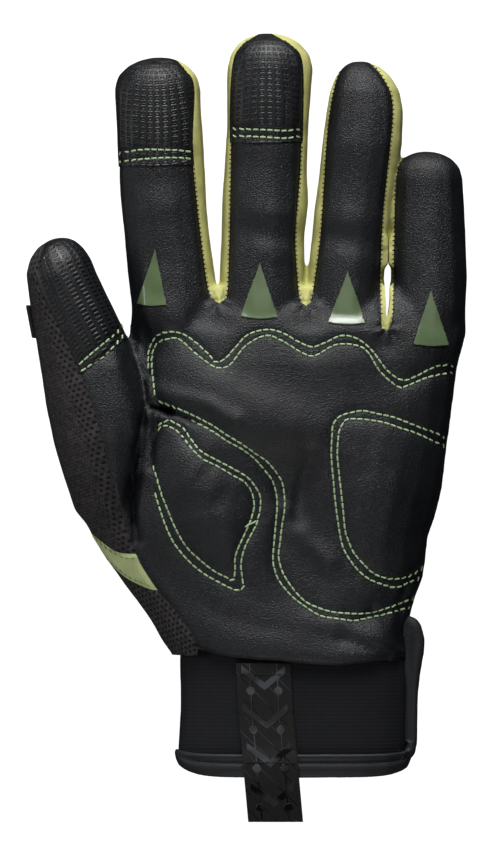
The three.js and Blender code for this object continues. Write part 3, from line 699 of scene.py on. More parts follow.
# %% Node kit
def linear(red, green, blue):
    """A colour picked in 0 to 255 as linear values for a shader."""
    values = [value / 255 for value in (red, green, blue)]
    return [v / 12.92 if v <= 0.04045 else ((v + 0.055) / 1.055) ** 2.4 for v in values] + [1]


class Finish:
    """One procedural material with its node tree."""

    def __init__(self, name, colour, roughness, specular=0.5):
        self.material = bpy.data.materials.new(name)
        self.material.use_nodes = True
        self.tree = self.material.node_tree
        self.shader = self.tree.nodes["Principled BSDF"]
        self.shader.inputs["Base Color"].default_value = colour
        self.shader.inputs["Roughness"].default_value = roughness
        self.shader.inputs["Specular IOR Level"].default_value = specular
        self.place = self.node("ShaderNodeTexCoord").outputs["Object"]
        self.last_bump = None

    def node(self, kind, inputs=None, **settings):
        """A new node with its settings and its sockets fed."""
        item = self.tree.nodes.new(kind)
        for name, value in settings.items():
            setattr(item, name, value)
        for name, value in (inputs or {}).items():
            self.feed(item.inputs[name], value)
        return item

    def feed(self, socket, value):
        """Links a socket to another, or gives it a plain value."""
        if isinstance(value, bpy.types.NodeSocket):
            self.tree.links.new(value, socket)
        else:
            socket.default_value = value

    def maths(self, operation, a, b=0.0, c=0.0):
        return self.node("ShaderNodeMath", {0: a, 1: b, 2: c}, operation=operation).outputs[0]

    def noise(self, size, detail=2.0, stretch=None):
        """Noise with features of the given size in millimetres."""
        vector = self.place
        if stretch:
            vector = self.node("ShaderNodeMapping", {"Vector": self.place, "Scale": stretch}
                               ).outputs[0]
        return self.node("ShaderNodeTexNoise", {"Vector": vector, "Scale": 1 / (size * MM),
                                                "Detail": detail}).outputs["Fac"]

    def span(self, value, low, high, to_low=0.0, to_high=1.0):
        """Stretches a range of values to 0 to 1 or to another range, and clips it."""
        return self.node("ShaderNodeMapRange", {"Value": value, "From Min": low, "From Max": high,
                                                "To Min": to_low, "To Max": to_high}).outputs[0]

    def mix(self, share, first, second):
        """The first colour where the share is 0, the second where it is 1."""
        return self.node("ShaderNodeMix", {"Factor": share, "A": first, "B": second},
                         data_type="RGBA").outputs["Result"]

    def colour(self, value):
        self.feed(self.shader.inputs["Base Color"], value)

    def roughness(self, value):
        self.feed(self.shader.inputs["Roughness"], value)

    def bump(self, height, depth, strength=1.0):
        """Adds a layer of relief, its depth in millimetres."""
        inputs = {"Height": height, "Distance": depth * MM, "Strength": strength}
        if self.last_bump:
            inputs["Normal"] = self.last_bump
        self.last_bump = self.node("ShaderNodeBump", inputs).outputs[0]
        self.feed(self.shader.inputs["Normal"], self.last_bump)


print("node kit ready")

# %% [markdown]
# Synthetic leather is a coated cloth: nearly black, with a soft gloss that its fine grain
# breaks up. The grain is a noise, and it drives both the colour and the bump, so that light
# and relief agree. A larger noise is the wear, and the folds get painted shade and no gloss.

# %% Leather
LEATHER_GLOSS = 0.33
# Near black of the painted shade at the bottom of the deepest folds
CREASE_SHADE_COLOUR = (3, 3, 4)


def leather_finish(name, dark, light, roughness, grain_depth):
    """Black leather with a fine grain that lies across the hand."""
    finish = Finish(name, light, roughness, LEATHER_GLOSS)
    grain = finish.span(finish.noise(0.45, 2, (0.8, 1, 1)), 0.34, 0.66)
    worn = finish.span(finish.noise(9, 3), 0.35, 0.7)
    crease_shade = finish.node("ShaderNodeAttribute", attribute_name="crease_shade").outputs["Fac"]
    face = finish.mix(finish.maths("MULTIPLY_ADD", grain, 0.6, finish.maths("MULTIPLY", worn, 0.4)),
                      dark, light)
    # Painted shade: the creases darken the colour towards near black and lose their gloss
    finish.colour(finish.mix(crease_shade, face, linear(*CREASE_SHADE_COLOUR)))
    finish.feed(finish.shader.inputs["Specular IOR Level"],
                finish.span(crease_shade, 0, 0.8, LEATHER_GLOSS, 0.0))
    finish.roughness(finish.span(finish.noise(2.5, 3), 0.3, 0.7, roughness - 0.04,
                                 roughness + 0.06))
    finish.bump(finish.noise(3.5, 2), 0.08, 0.5)
    finish.bump(grain, grain_depth, 1.0)
    return finish


black_leather = leather_finish("black_leather", linear(10, 11, 14), linear(20, 22, 26), 0.43,
                               0.12)
print("leather ready")

# %% [markdown]
# The grip patches are the same leather with rows of small pressed marks. The rows follow the
# round of the finger, so a mark's place is worked out from the angle around the finger and
# from the height along it, and no picture is needed.

# %% Grip patches
FINGER_ROUND = 10.0
THUMB_LINE = -27.6
# A mark's edge is this soft, and its rim this wide across and along, in millimetres
MARK_SOFT = 0.13
MARK_RIM = (0.8, 0.65)


def repeat(finish, value, pitch):
    """Distance to the middle of the nearest of evenly repeated cells, in millimetres."""
    turned = finish.maths("FRACT", finish.maths("DIVIDE", value, pitch))
    return finish.maths("MULTIPLY", finish.maths("ABSOLUTE", finish.maths("SUBTRACT", turned, 0.5)),
                        pitch)


def grip_finish(name, x_middle, z_middle, turn, pitch, mark, bow, filled):
    """Leather with rows of pressed marks, each a small ring around a raised middle."""
    finish = leather_finish(name, linear(18, 19, 21), linear(28, 29, 32), 0.4, 0.05)
    x, y, z = finish.node("ShaderNodeSeparateXYZ", {"Vector": finish.place}).outputs
    cosine, sine = math.cos(math.radians(turn)), math.sin(math.radians(turn))
    x = finish.maths("SUBTRACT", finish.maths("DIVIDE", x, MM), x_middle)
    y = finish.maths("DIVIDE", y, MM)
    z = finish.maths("SUBTRACT", finish.maths("DIVIDE", z, MM), z_middle)
    across = finish.maths("ADD", finish.maths("MULTIPLY", x, cosine), finish.maths("MULTIPLY", y, sine))
    along = finish.maths("SUBTRACT", finish.maths("MULTIPLY", y, cosine),
                         finish.maths("MULTIPLY", x, sine))
    if turn:
        across = finish.maths("SUBTRACT", across, THUMB_LINE)
    arc = finish.maths("MULTIPLY", finish.maths("ARCTAN2", across, z), FINGER_ROUND)
    bent = finish.maths("MULTIPLY_ADD", finish.maths("MULTIPLY", across, across), bow, along)
    u = repeat(finish, arc, pitch[0])
    v = repeat(finish, bent, pitch[1])

    def box(wide, high):
        """1 inside a mark of the given size."""
        return finish.maths("MULTIPLY",
                            finish.span(u, wide / 2 + MARK_SOFT, wide / 2 - MARK_SOFT),
                            finish.span(v, high / 2 + MARK_SOFT, high / 2 - MARK_SOFT))

    middle = box(mark[0] - MARK_RIM[0], mark[1] - MARK_RIM[1])
    ring = finish.maths("SUBTRACT", box(*mark), finish.maths("MULTIPLY", filled, middle))
    old = finish.shader.inputs["Base Color"].links[0].from_socket
    # The recessed rings of the marks are painted near black: painted shade in their hollows.
    finish.colour(finish.mix(ring, old, linear(6, 6, 7)))
    finish.bump(finish.maths("SUBTRACT", 1.0, ring), 0.17, 0.8)
    return finish


GRIPS = {
    "index": grip_finish("index_grip_leather", x_middle=-30.7, z_middle=15, turn=0,
                         pitch=(2.6, 1.78), mark=(1.6, 1.1), bow=-0.012, filled=0.8),
    "middle": grip_finish("middle_grip_leather", x_middle=6.7, z_middle=15, turn=0,
                          pitch=(2.6, 1.9), mark=(1.5, 1.0), bow=0.012, filled=0.6),
    "thumb": grip_finish("thumb_grip_leather", x_middle=0.0, z_middle=14, turn=THUMB_TURN,
                         pitch=(1.95, 1.5), mark=(1.05, 0.8), bow=0.015, filled=0.3),
}
print(len(GRIPS), "grip finishes")

# %% [markdown]
# The pull tab's print is laid out in millimetres along the strap, so the strap's path comes
# before its finish. The path is the middle of the strap's underside, from the seam on the cuff
# over the hem to the free end, and the length of its curve is the strap's flat length.

# %% The pull tab's path
TAB_WIDTH, TAB_THICK = 18.2, 1.0
TAB_PATH = [(5.6, -77.8, 34.2), (5.9, -84, 34.3), (6.6, -96, 34.5), (7.5, -105.5, 35.1),
            (7.9, -110, 36.3), (8.3, -115, 36.3), (8.9, -121.5, 35.4), (9.7, -130.4, 33.4)]
tab_curve = smooth(TAB_PATH, 12)
tab_run = np.concatenate([[0], np.cumsum(np.linalg.norm(np.diff(tab_curve, axis=0), axis=1))])
TAB_RUN = float(tab_run[-1])
print("tab length", round(TAB_RUN, 1), "mm")

# %% [markdown]
# The green pieces are soft woven stretch cloth: matte and a little uneven in colour, with painted
# shade in the creases at the crotches of the fingers. The black ones are knitted, and two crossing
# wave textures make the knit's small loops without a picture.

# %% Green cloth and knits
# Wavelengths of the knit's loops across and along, in units of their size
LOOP_ACROSS, LOOP_ALONG = 6.28, 9
# Colour of the painted shade in the creases at the crotches
GREEN_CREASE_SHADE = (52, 52, 30)


def green_cloth(name, colour, shade):
    """Pale green cloth with painted shade in its creases."""
    finish = Finish(name, colour, 0.78, 0.25)
    crease_shade = finish.node("ShaderNodeAttribute", attribute_name="crease_shade").outputs["Fac"]
    face = finish.mix(finish.span(finish.noise(5, 4), 0.3, 0.7), shade, colour)
    # Painted shade: the creases turn the green dark
    finish.colour(finish.mix(crease_shade, face, linear(*GREEN_CREASE_SHADE)))
    finish.bump(finish.noise(3.5, 3), 0.3, 0.5)
    finish.bump(finish.noise(0.5, 2), 0.08, 0.6)
    return finish


def knit(name, colour, light, size, roughness):
    """A dark cloth with a fine knitted face."""
    finish = Finish(name, colour, roughness, 0.2)
    loops = [finish.node("ShaderNodeTexWave",
                         {"Vector": finish.place, "Scale": 1 / (size * MM * run),
                          "Distortion": 0.4}, bands_direction=axis).outputs["Fac"]
             for axis, run in (("X", LOOP_ACROSS), ("Y", LOOP_ALONG))]
    weave = finish.maths("MULTIPLY", *loops)
    finish.colour(finish.mix(finish.maths("MULTIPLY", weave, finish.noise(3, 3)), colour, light))
    finish.bump(weave, 0.08, 0.6)
    finish.bump(finish.noise(0.4, 2), 0.05, 0.5)
    return finish


finger_green = green_cloth("pale_green_cloth", linear(190, 189, 120), linear(162, 161, 98))
band_green = green_cloth("band_green_cloth", linear(176, 184, 134), linear(158, 167, 116))
back_cloth = knit("black_stretch_cloth", linear(26, 27, 30), linear(44, 45, 49), 0.5, 0.85)
neoprene = knit("neoprene", linear(15, 16, 19), linear(38, 39, 44), 0.45, 0.8)
binding_cloth = knit("binding_cloth", linear(34, 35, 38), linear(41, 42, 46), 0.3, 0.55)
print("cloths ready")

# %% [markdown]
# Air mesh is a thick net that lets the hand breathe. Real holes would need millions of faces,
# so three cosine waves at 60 degrees draw staggered rows of them, which paint the holes' shade
# into the colour and press the surface in. The rows beside the seam are larger, as on the glove.

# %% Air mesh
# Slant of the thumb's seam, X lost for each millimetre of Y, and where it crosses Y = 0
MESH_LEAN, MESH_SEAM = 0.323, -50.4
# Pitch of the holes in millimetres, and the wave's height where a hole starts and is full
SMALL_HOLES = (1.15, 0.4, 2.2)
LARGE_HOLES = (1.8, 0.3, 1.7)
# Share of the pitch from one staggered row to the next
ROW_STEP = 0.866


def air_mesh():
    """Brown-black net: a fine slanting weave, with rows of larger holes beside the seam."""
    finish = Finish("air_mesh", linear(38, 34, 33), 0.85, 0.2)
    x, y, z = finish.node("ShaderNodeSeparateXYZ", {"Vector": finish.place}).outputs
    around = finish.maths("MULTIPLY", finish.maths("ADD", x, z), 0.8)

    def holes(pitch, low, high):
        """Holes in staggered rows, turned along the seam."""
        turn = 2 * math.pi / (pitch * MM)
        run = finish.maths("MULTIPLY", finish.maths("MULTIPLY_ADD", x, -MESH_LEAN, y), turn)
        step = finish.maths("MULTIPLY", finish.maths("MULTIPLY_ADD", y, MESH_LEAN, around),
                            turn * ROW_STEP)
        half = finish.maths("MULTIPLY", run, 0.5)
        waves = [finish.maths("COSINE", run), finish.maths("COSINE", finish.maths("ADD", half, step)),
                 finish.maths("COSINE", finish.maths("SUBTRACT", half, step))]
        return finish.span(finish.maths("ADD", finish.maths("ADD", *waves[:2]), waves[2]), low, high)

    from_seam = finish.maths("MULTIPLY_ADD", y, MESH_LEAN, x)
    near = finish.span(from_seam, (MESH_SEAM - 5.6) * MM, (MESH_SEAM - 4.4) * MM)
    small = finish.maths("MULTIPLY", holes(*SMALL_HOLES), finish.maths("SUBTRACT", 0.75, near))
    hole = finish.maths("MAXIMUM", small, finish.maths("MULTIPLY", holes(*LARGE_HOLES), near))
    thread = finish.mix(finish.span(finish.noise(1.4, 4), 0.35, 0.65), linear(34, 32, 32),
                        linear(56, 53, 53))
    # The holes are painted near black: painted shade of the dim inside seen through them.
    finish.colour(finish.mix(hole, thread, linear(11, 11, 11)))
    finish.bump(finish.noise(4, 2), 0.3, 0.5)
    finish.bump(finish.maths("SUBTRACT", 1.0, hole), 0.35, 0.9)
    finish.bump(finish.noise(0.35, 2), 0.08, 0.6)
    return finish


mesh_finish = air_mesh()
print("mesh ready")

# %% [markdown]
# The triangles are a pressed film with a clear coat over its green, and the thread is matte
# with a fine twist. Both are small, so a colour of two shades and a light bump are enough.

# %% Film and thread
def gloss_film():
    """Moss green film with a glossy coat."""
    finish = Finish("gloss_green_film", linear(90, 108, 75), 0.3, 0.4)
    finish.colour(finish.mix(finish.span(finish.noise(7, 2), 0.3, 0.7), linear(83, 99, 69),
                             linear(95, 112, 80)))
    finish.shader.inputs["Coat Weight"].default_value = 0.35
    finish.shader.inputs["Coat Roughness"].default_value = 0.12
    finish.bump(finish.noise(6, 2), 0.15, 0.4)
    return finish


def thread(name, dark, light):
    """Matte sewing thread of two shades."""
    finish = Finish(name, light, 0.7, 0.2)
    finish.colour(finish.mix(finish.noise(0.8, 2), dark, light))
    finish.bump(finish.noise(0.25, 2), 0.06, 0.7)
    return finish


film_finish = gloss_film()
thread_finish = thread("mint_thread", linear(142, 166, 124), linear(176, 198, 158))
black_thread = thread("black_thread", linear(13, 13, 14), linear(30, 30, 32))
print("film and thread ready")

# %% [markdown]
# The strap is matte cloth with a glossy print, which shows by its shine more than by its colour;
# its grey patches are painted reflection. The print is a plain one of this lesson's own: chevrons,
# cross lines and discs, drawn by sums on the strap's own flat coordinates.

# %% Printed strap
CHEVRON = {"pitch": 13.0, "thick": 2.6, "slope": 0.8, "reach": 7.4}
LINES = {"pitch": 6.5, "thick": 0.4, "slope": 1.1}
DISC = {"side": 4.6, "start": 1.5, "radius": 1.55, "solid": 1.3}
INK_EDGE = 0.12


def printed_strap():
    """Matte strap with a glossy print of wide chevrons, thin cross lines and small discs."""
    finish = Finish("printed_strap", linear(22, 21, 20), 0.75, 0.3)
    flat = finish.node("ShaderNodeTexCoord").outputs["UV"]
    u, v, _ = finish.node("ShaderNodeSeparateXYZ", {"Vector": flat}).outputs
    x = finish.maths("MULTIPLY", finish.maths("SUBTRACT", u, 0.5), TAB_WIDTH)
    y = finish.maths("MULTIPLY", v, TAB_RUN)
    side = finish.maths("ABSOLUTE", x)

    def stripe(value, pitch, thick, shift=0.0):
        """1 on a stripe of the given thickness that repeats at the pitch, in millimetres."""
        turned = finish.maths("FRACT", finish.maths(
            "DIVIDE", finish.maths("ADD", value, shift), pitch))
        off = finish.maths("MULTIPLY", finish.maths("ABSOLUTE", finish.maths("SUBTRACT", turned, 0.5)),
                           pitch)
        return finish.span(off, thick / 2 + INK_EDGE, thick / 2 - INK_EDGE)

    slope = finish.maths("SUBTRACT", y, finish.maths("MULTIPLY", side, CHEVRON["slope"]))
    chevron = finish.maths("MULTIPLY", stripe(slope, CHEVRON["pitch"], CHEVRON["thick"]),
                           finish.span(side, CHEVRON["reach"], CHEVRON["reach"] - 0.2))
    slanting = finish.maths("ADD", y, finish.maths("MULTIPLY", x, LINES["slope"]))
    hatch = finish.maths("MAXIMUM", stripe(slanting, LINES["pitch"], LINES["thick"], 2.0),
                         stripe(side, 30.0, LINES["thick"], 10.5))
    turned = finish.maths("FRACT", finish.maths(
        "DIVIDE", finish.maths("ADD", y, DISC["start"]), CHEVRON["pitch"]))
    down = finish.maths("SUBTRACT", finish.maths("MULTIPLY", turned, CHEVRON["pitch"]),
                        CHEVRON["pitch"] / 2)
    out = finish.maths("SUBTRACT", side, DISC["side"])
    radius = finish.maths("SQRT", finish.maths("ADD", finish.maths("MULTIPLY", down, down),
                                               finish.maths("MULTIPLY", out, out)))
    disc = finish.span(radius, DISC["radius"], DISC["solid"])
    print_share = finish.maths("MAXIMUM", finish.maths("MAXIMUM", chevron, disc), hatch)
    # Painted reflection: a noise turns the print from near black to grey patches
    ink_and_reflection = finish.mix(finish.span(finish.noise(9, 1), 0.42, 0.58), linear(12, 12, 13),
                     linear(54, 57, 62))
    finish.colour(finish.mix(print_share, linear(15, 14, 13), ink_and_reflection))
    finish.roughness(finish.span(print_share, 0, 1, 0.85, 0.14))
    finish.bump(print_share, 0.3, 0.9)
    finish.bump(finish.noise(0.4, 2), 0.05, 0.5)
    return finish


strap_finish = printed_strap()
print("strap finish ready")

# %% [markdown]
# Each finished panel now takes the place of the plain one from the imported model. It rides on
# the same body, gets its finish, and the plain nodes that it stands for are hidden.

# %% Put the panels in place of the plain ones
def place(obj, finish, slot, *stands_for):
    """Gives a finished piece its body and its material, and hides the nodes that it stands for. The
    slot is not used.
    """
    obj.data.materials.clear()
    obj.data.materials.append(finish.material)
    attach(obj, "root")
    if stands_for:
        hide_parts(*stands_for)
    shade(obj)


place(palm, black_leather, "leather", "palm_panel")
place(thumb, black_leather, "leather", "thumb_front")
place(index_tip, GRIPS["index"], "grip", "index_tip_patch")
place(middle_tip, GRIPS["middle"], "grip", "middle_tip_patch")
place(thumb_tip, GRIPS["thumb"], "grip", "thumb_tip_patch")
place(side_mesh, mesh_finish, "mesh_cloth", "thumb_mesh")
place(wrist_mesh, mesh_finish, "mesh_cloth", "wrist_mesh")
place(band, band_green, "band_cloth", "thumb_band")
place(back, back_cloth, "back_cloth", "back_panel")
for name, strip in strips.items():
    place(strip, finger_green, "green_cloth", f"fourchette_{name}")
print("panels placed")

# %% [markdown]
# The thread. One stitch is modelled as a small worm of thread with its ends dipping into the
# leather. It is laid along every line at a sewing machine's pitch, on the real surface.

# %% One stitch
STITCH = {"pitch": 2.25, "length": 1.98, "radius": 0.32}


def stitch_template():
    """A ball pulled long, whose ends bend down."""
    bpy.ops.object.select_all(action="DESELECT")
    bpy.ops.mesh.primitive_uv_sphere_add(segments=8, ring_count=6, radius=STITCH["radius"] * MM,
                                         rotation=(0, math.radians(90), 0))
    worm = bpy.context.object
    worm.name = worm.data.name = "stitch"
    bpy.ops.object.transform_apply(location=False, rotation=True, scale=False)
    shape = corners(worm)
    straight = (STITCH["length"] / 2 - STITCH["radius"]) * MM
    shape[:, 0] += np.sign(np.round(shape[:, 0], 6)) * straight
    half = STITCH["length"] / 2 * MM
    shape[:, 2] -= 0.5 * STITCH["radius"] * MM * (shape[:, 0] / half) ** 4
    move_to(worm, shape)
    return worm


worm = stitch_template()
print("one stitch has", len(worm.data.polygons), "faces")

# %% Lay the stitches on the surface
def even(line, pitch):
    """Places and directions at an even pitch along a drawn line."""
    steps = np.linalg.norm(np.diff(line, axis=0), axis=1)
    run = np.concatenate([[0], np.cumsum(steps)])
    count = max(1, int(run[-1] / pitch))
    at = (np.arange(count) + 0.5) * run[-1] / count
    x, y = (np.interp(at, run, line[:, i]) for i in (0, 1))
    ahead = np.column_stack([np.interp(at + 0.4, run, line[:, i])
                             - np.interp(at - 0.4, run, line[:, i]) for i in (0, 1)])
    return np.column_stack([x, y]), ahead / np.linalg.norm(ahead, axis=1)[:, None]


def surface(objects):
    """Ray trees of several objects for finding the top surface."""
    graph = bpy.context.evaluated_depsgraph_get()
    return [BVHTree.FromObject(obj, graph) for obj in objects]


def top_at(trees, x, y):
    """Highest point and its normal at a pattern place, in metres."""
    start = Vector((*metres([x, y]), HIGH))
    best = None
    for tree in trees:
        hit, normal, _, _ = tree.ray_cast(start, Vector((0, 0, -1)))
        if hit and (best is None or hit.z > best[0].z):
            best = (hit, normal)
    return best


def sew(lines, objects, name, finish, slot, pitch=STITCH["pitch"], lift=0.08, size=1.0,
        crossing=False):
    """Lays a stitch at every step of the lines, or across them, on top of the objects."""
    trees = surface(objects)
    laid = []
    for line in lines:
        for (x, y), (dx, dy) in zip(*even(line, pitch)):
            found = top_at(trees, x, y)
            if not found:
                continue
            hit, normal = found
            along = Vector((-dy, dx, 0)) if crossing else Vector((dx, dy, 0))
            along = (along - normal * along.dot(normal)).normalized()
            side = normal.cross(along)
            stitch = duplicate(worm, f"{name}_{len(laid)}")
            turn = stitch.matrix_world.to_3x3()
            turn.col[0], turn.col[1], turn.col[2] = along * size, side * size, normal * size
            whole = turn.to_4x4()
            whole.translation = hit + normal * lift * MM
            stitch.data.transform(whole)
            laid.append(stitch)
    bpy.ops.object.select_all(action="DESELECT")
    for stitch in laid:
        stitch.select_set(True)
    bpy.context.view_layer.objects.active = laid[0]
    bpy.ops.object.join()
    row = bpy.context.view_layer.objects.active
    row.name = row.data.name = name
    place(row, finish, slot)
    print(name, len(laid), "stitches")
    return row


print("sewing helpers ready")

# %% Sew the panels
PATCH_NAMES = ("index", "middle", "thumb")
BACKTACK = [(-0.4, -32.4), (3.2, -30.6)]
BAND_LINES = [[(-50.6, -36.2), (-46.5, -39.8), (-43, -41.9), (-39.9, -42.9), (-36.9, -42.9)],
              [(-48.4, -41.4), (-43.3, -46.0), (-39.9, -48.8), (-36.6, -50.5), (-32.2, -51.9)]]
palm_lines = [line for name, line in stitch_line.items() if not name.startswith(PATCH_NAMES)]
patch_lines = [line for name, line in stitch_line.items() if name.startswith(PATCH_NAMES)]
sew(palm_lines, [palm], "palm_stitches", thread_finish, "band_cloth")
sew(patch_lines, [palm, thumb, index_tip, middle_tip, thumb_tip], "patch_stitches", thread_finish,
    "band_cloth")
sew([np.array(BACKTACK)], [palm], "backtack", thread_finish, "band_cloth", pitch=1.2, size=0.9)
band_thread = thread("green_thread", linear(96, 126, 84), linear(122, 152, 106))
sew([smooth(points) for points in BAND_LINES], [band], "band_stitches", band_thread, "band_cloth",
    pitch=1.9, size=0.85, lift=0.12)
edges = [between(seam[name], 36, 130) for name in FRONT_SEAMS[:6]]
sew(edges, [palm, index_tip, middle_tip, *strips.values()], "overcast_edges", black_thread,
    "leather", pitch=1.5, size=0.62, lift=0.0, crossing=True)
print("sewn", round(time.time() - started, 1), "s")

# %% [markdown]
# The glossy triangles are films pressed on the leather. Each is cut from the outer face of
# the palm and given its own thickness.

# %% Films pressed on the leather
TRIANGLES = [
    {"x": -31.4, "apex": 60.3, "base": 41.6, "half": 4.9, "lean": 1.0},
    {"x": 4.2, "apex": 55.7, "base": 37.3, "half": 6.3, "lean": 0.3},
    {"x": 33.3, "apex": 52.8, "base": 35.3, "half": 6.3, "lean": 0.4},
    {"x": 61.3, "apex": 46.6, "base": 28.2, "half": 6.0, "lean": 0.1},
]
FILM_THICK = 0.4
FILM_BEVEL = 0.12


def keep_faces(obj, test):
    """Deletes the faces whose middle and normal don't pass the test."""
    only(obj)
    bpy.context.tool_settings.mesh_select_mode = (False, False, True)
    for polygon in obj.data.polygons:
        polygon.select = not test(polygon.center, polygon.normal)
    bpy.ops.object.mode_set(mode="EDIT")
    bpy.ops.mesh.delete(type="FACE")
    bpy.ops.object.mode_set(mode="OBJECT")


def film(source, outline, name, thick, lift, test):
    """A thin pressed piece from the outer face of another one."""
    piece = take(source, [outline], name)
    keep_faces(piece, test)
    modifier(piece, "SMOOTH", iterations=6, factor=0.5)
    move_to(piece, corners(piece) + normals(piece) * lift * MM)
    modifier(piece, "SOLIDIFY", thickness=thick * MM, offset=1)
    modifier(piece, "BEVEL", width=FILM_BEVEL * MM, segments=2, limit_method="ANGLE")
    return piece


for number, row in enumerate(TRIANGLES, 1):
    left, right = row["x"] - row["half"], row["x"] + row["half"]
    base = smooth([(left, row["base"]), (row["x"], row["base"] - 0.7), (right, row["base"] - 0.3)])
    outline = joined(base, [(row["x"] + row["lean"], row["apex"])])
    triangle = film(palm, outline, f"gloss_triangle_{number}", FILM_THICK, 0.02,
                    lambda centre, normal: normal.z > 0.15 and centre.z > 15 * MM)
    place(triangle, film_finish, "gloss_green", f"finger_triangle_{number}")
print("films placed")

# %% [markdown]
# The cuff is a neoprene tube, and its hem and open edge are bound with cloth tape. Both are
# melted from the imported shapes, like the skin, and then smoothed.

# %% Cuff
# The hem is drawn up at its corners: middle, half width and rise in millimetres
HEM = {"middle": 16.0, "half": 39.8, "rise": 5.0}
GROOVE_Y = -110.6
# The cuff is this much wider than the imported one, counted from its middle
CUFF_WIDER, CUFF_MIDDLE = 0.022, 15


def corner_rise(x, y):
    """How far the rounded corners of the hem are drawn up."""
    out = np.clip(np.abs(x - HEM["middle"]) / HEM["half"], 0, 1)
    return HEM["rise"] * out**8 * np.clip((-104 - y) / 12, 0, 1)


def draw_up(obj):
    """Draws up the corners of the hem on a piece of the cuff."""
    spots = corners(obj)
    x, y = (spots[:, :2] / MM - CENTRING).T
    spots[:, 1] += corner_rise(x, y) * MM
    move_to(obj, spots)


cuff = melt(["cuff"], "neoprene_cuff", voxel=0.9 * MM, swell=0.0, relax=60)
spots = corners(cuff)
spots[:, 0] += CUFF_WIDER * (spots[:, 0] - CUFF_MIDDLE * MM)
move_to(cuff, spots)
draw_up(cuff)
place(cuff, neoprene, "neoprene", "cuff")
print("cuff", len(cuff.data.vertices), "vertices")

# %% [markdown]
# Tape folded over an edge is thick at its rim and pressed down where it is stitched. The rim
# and the groove are bells across the tape, one pair around the hem and one up the bound edge.

# %% Binding
# Around the hem, in millimetres: a bead above the groove, and the tape's swelling below it
HEM_BEAD = {"y": -108.7, "height": 0.45, "width": 0.9}
HEM_GROOVE = {"depth": 0.7, "width": 0.75}
HEM_SWELLING = 0.3
# The bound edge lies above and to the right of these lines
EDGE_LOW, EDGE_LEFT = -104, 50
EDGE_BULGE = {"height": 0.9, "y": -68, "run": 13, "from_x": 54.5, "fade": 2}
EDGE_WIDENING = {"least": 1.7, "more": 1.8, "y": -70, "run": 14, "to_x": 55.8, "fade": 1.5}
EDGE_BEAD = {"x": 52.7, "height": 0.4, "width": 0.6}
EDGE_GROOVE = {"x": 53.9, "depth": 1.3, "width": 0.7}
binding = melt(["cuff_binding"], "bound_edge", voxel=0.55 * MM, swell=0.1 * MM, relax=30)
spots = corners(binding)
x, y = (spots[:, :2] / MM - CENTRING).T
out = np.column_stack([spots[:, 0] - HEM["middle"] * MM, np.zeros(len(spots)),
                       2.5 * (spots[:, 2] - spots[:, 2].mean())])
out /= np.linalg.norm(out, axis=1)[:, None]
outer = np.clip((normals(binding) * out).sum(1) / 0.4, 0, 1)
profile = (HEM_BEAD["height"] * bell(y - HEM_BEAD["y"], HEM_BEAD["width"])
           - HEM_GROOVE["depth"] * bell(y - GROOVE_Y, HEM_GROOVE["width"])
           + HEM_SWELLING * np.clip((GROOVE_Y - 1 - y) / 1.0, 0, 1))
profile = profile * (y < -106) * np.clip((y + 116) / 2, 0, 1)
profile *= 1 - np.clip(np.abs(x - HEM["middle"]) / HEM["half"], 0, 1) ** 12
edge = (y > EDGE_LOW) & (x > EDGE_LEFT)
spots += normals(binding) * (outer * np.where(edge, 0, profile) * MM)[:, None]
bulge = (EDGE_BULGE["height"] * bell(y - EDGE_BULGE["y"], EDGE_BULGE["run"])
         * np.clip((x - EDGE_BULGE["from_x"]) / EDGE_BULGE["fade"], 0, 1))
widening = ((EDGE_WIDENING["least"]
             + EDGE_WIDENING["more"] * bell(y - EDGE_WIDENING["y"], EDGE_WIDENING["run"]))
            * np.clip((EDGE_WIDENING["to_x"] - x) / EDGE_WIDENING["fade"], 0, 1))
spots[:, 0] += np.where(edge, bulge - widening, 0) * MM
x = spots[:, 0] / MM - CENTRING[0]
in_front = np.clip(normals(binding)[:, 2] / 0.4, 0, 1) * edge * np.clip((-62 - y) / 4, 0, 1)
across_front = (EDGE_BEAD["height"] * bell(x - EDGE_BEAD["x"], EDGE_BEAD["width"])
                - EDGE_GROOVE["depth"] * bell(x - EDGE_GROOVE["x"], EDGE_GROOVE["width"]))
spots[:, 2] += in_front * across_front * MM
spots[:, 2] = np.maximum(spots[:, 2], 0)
move_to(binding, spots)
draw_up(binding)
modifier(binding, "SMOOTH", iterations=3, factor=0.5)
place(binding, binding_cloth, "binding", "cuff_binding")
hem_x = np.linspace(-23.4, 54.6, 60)
hem_y = GROOVE_Y + corner_rise(hem_x, GROOVE_Y)
groove = np.column_stack([hem_x, hem_y])
sew([groove], [binding], "hem_stitches", black_thread, "binding", pitch=1.7, size=0.85, lift=0.1)
print("binding", len(binding.data.vertices), "vertices")

# %% Patch on the thumb's back
patch = melt(["thumb_back_patch"], "thumb_back_piece", voxel=0.4 * MM, swell=0.05 * MM, relax=8)
place(patch, back_cloth, "back_cloth", "thumb_back_patch")
print("patch", len(patch.data.vertices), "vertices")

# %% [markdown]
# The pull tab is a flat strap sewn to the cuff at two places. It hangs over the hem, and its
# free end lies in the air past it.

# %% Pull tab
# The strap is bowed across its width by this much, and its edges are rounded
TAB_BOW, TAB_BEVEL = 0.25, 0.25


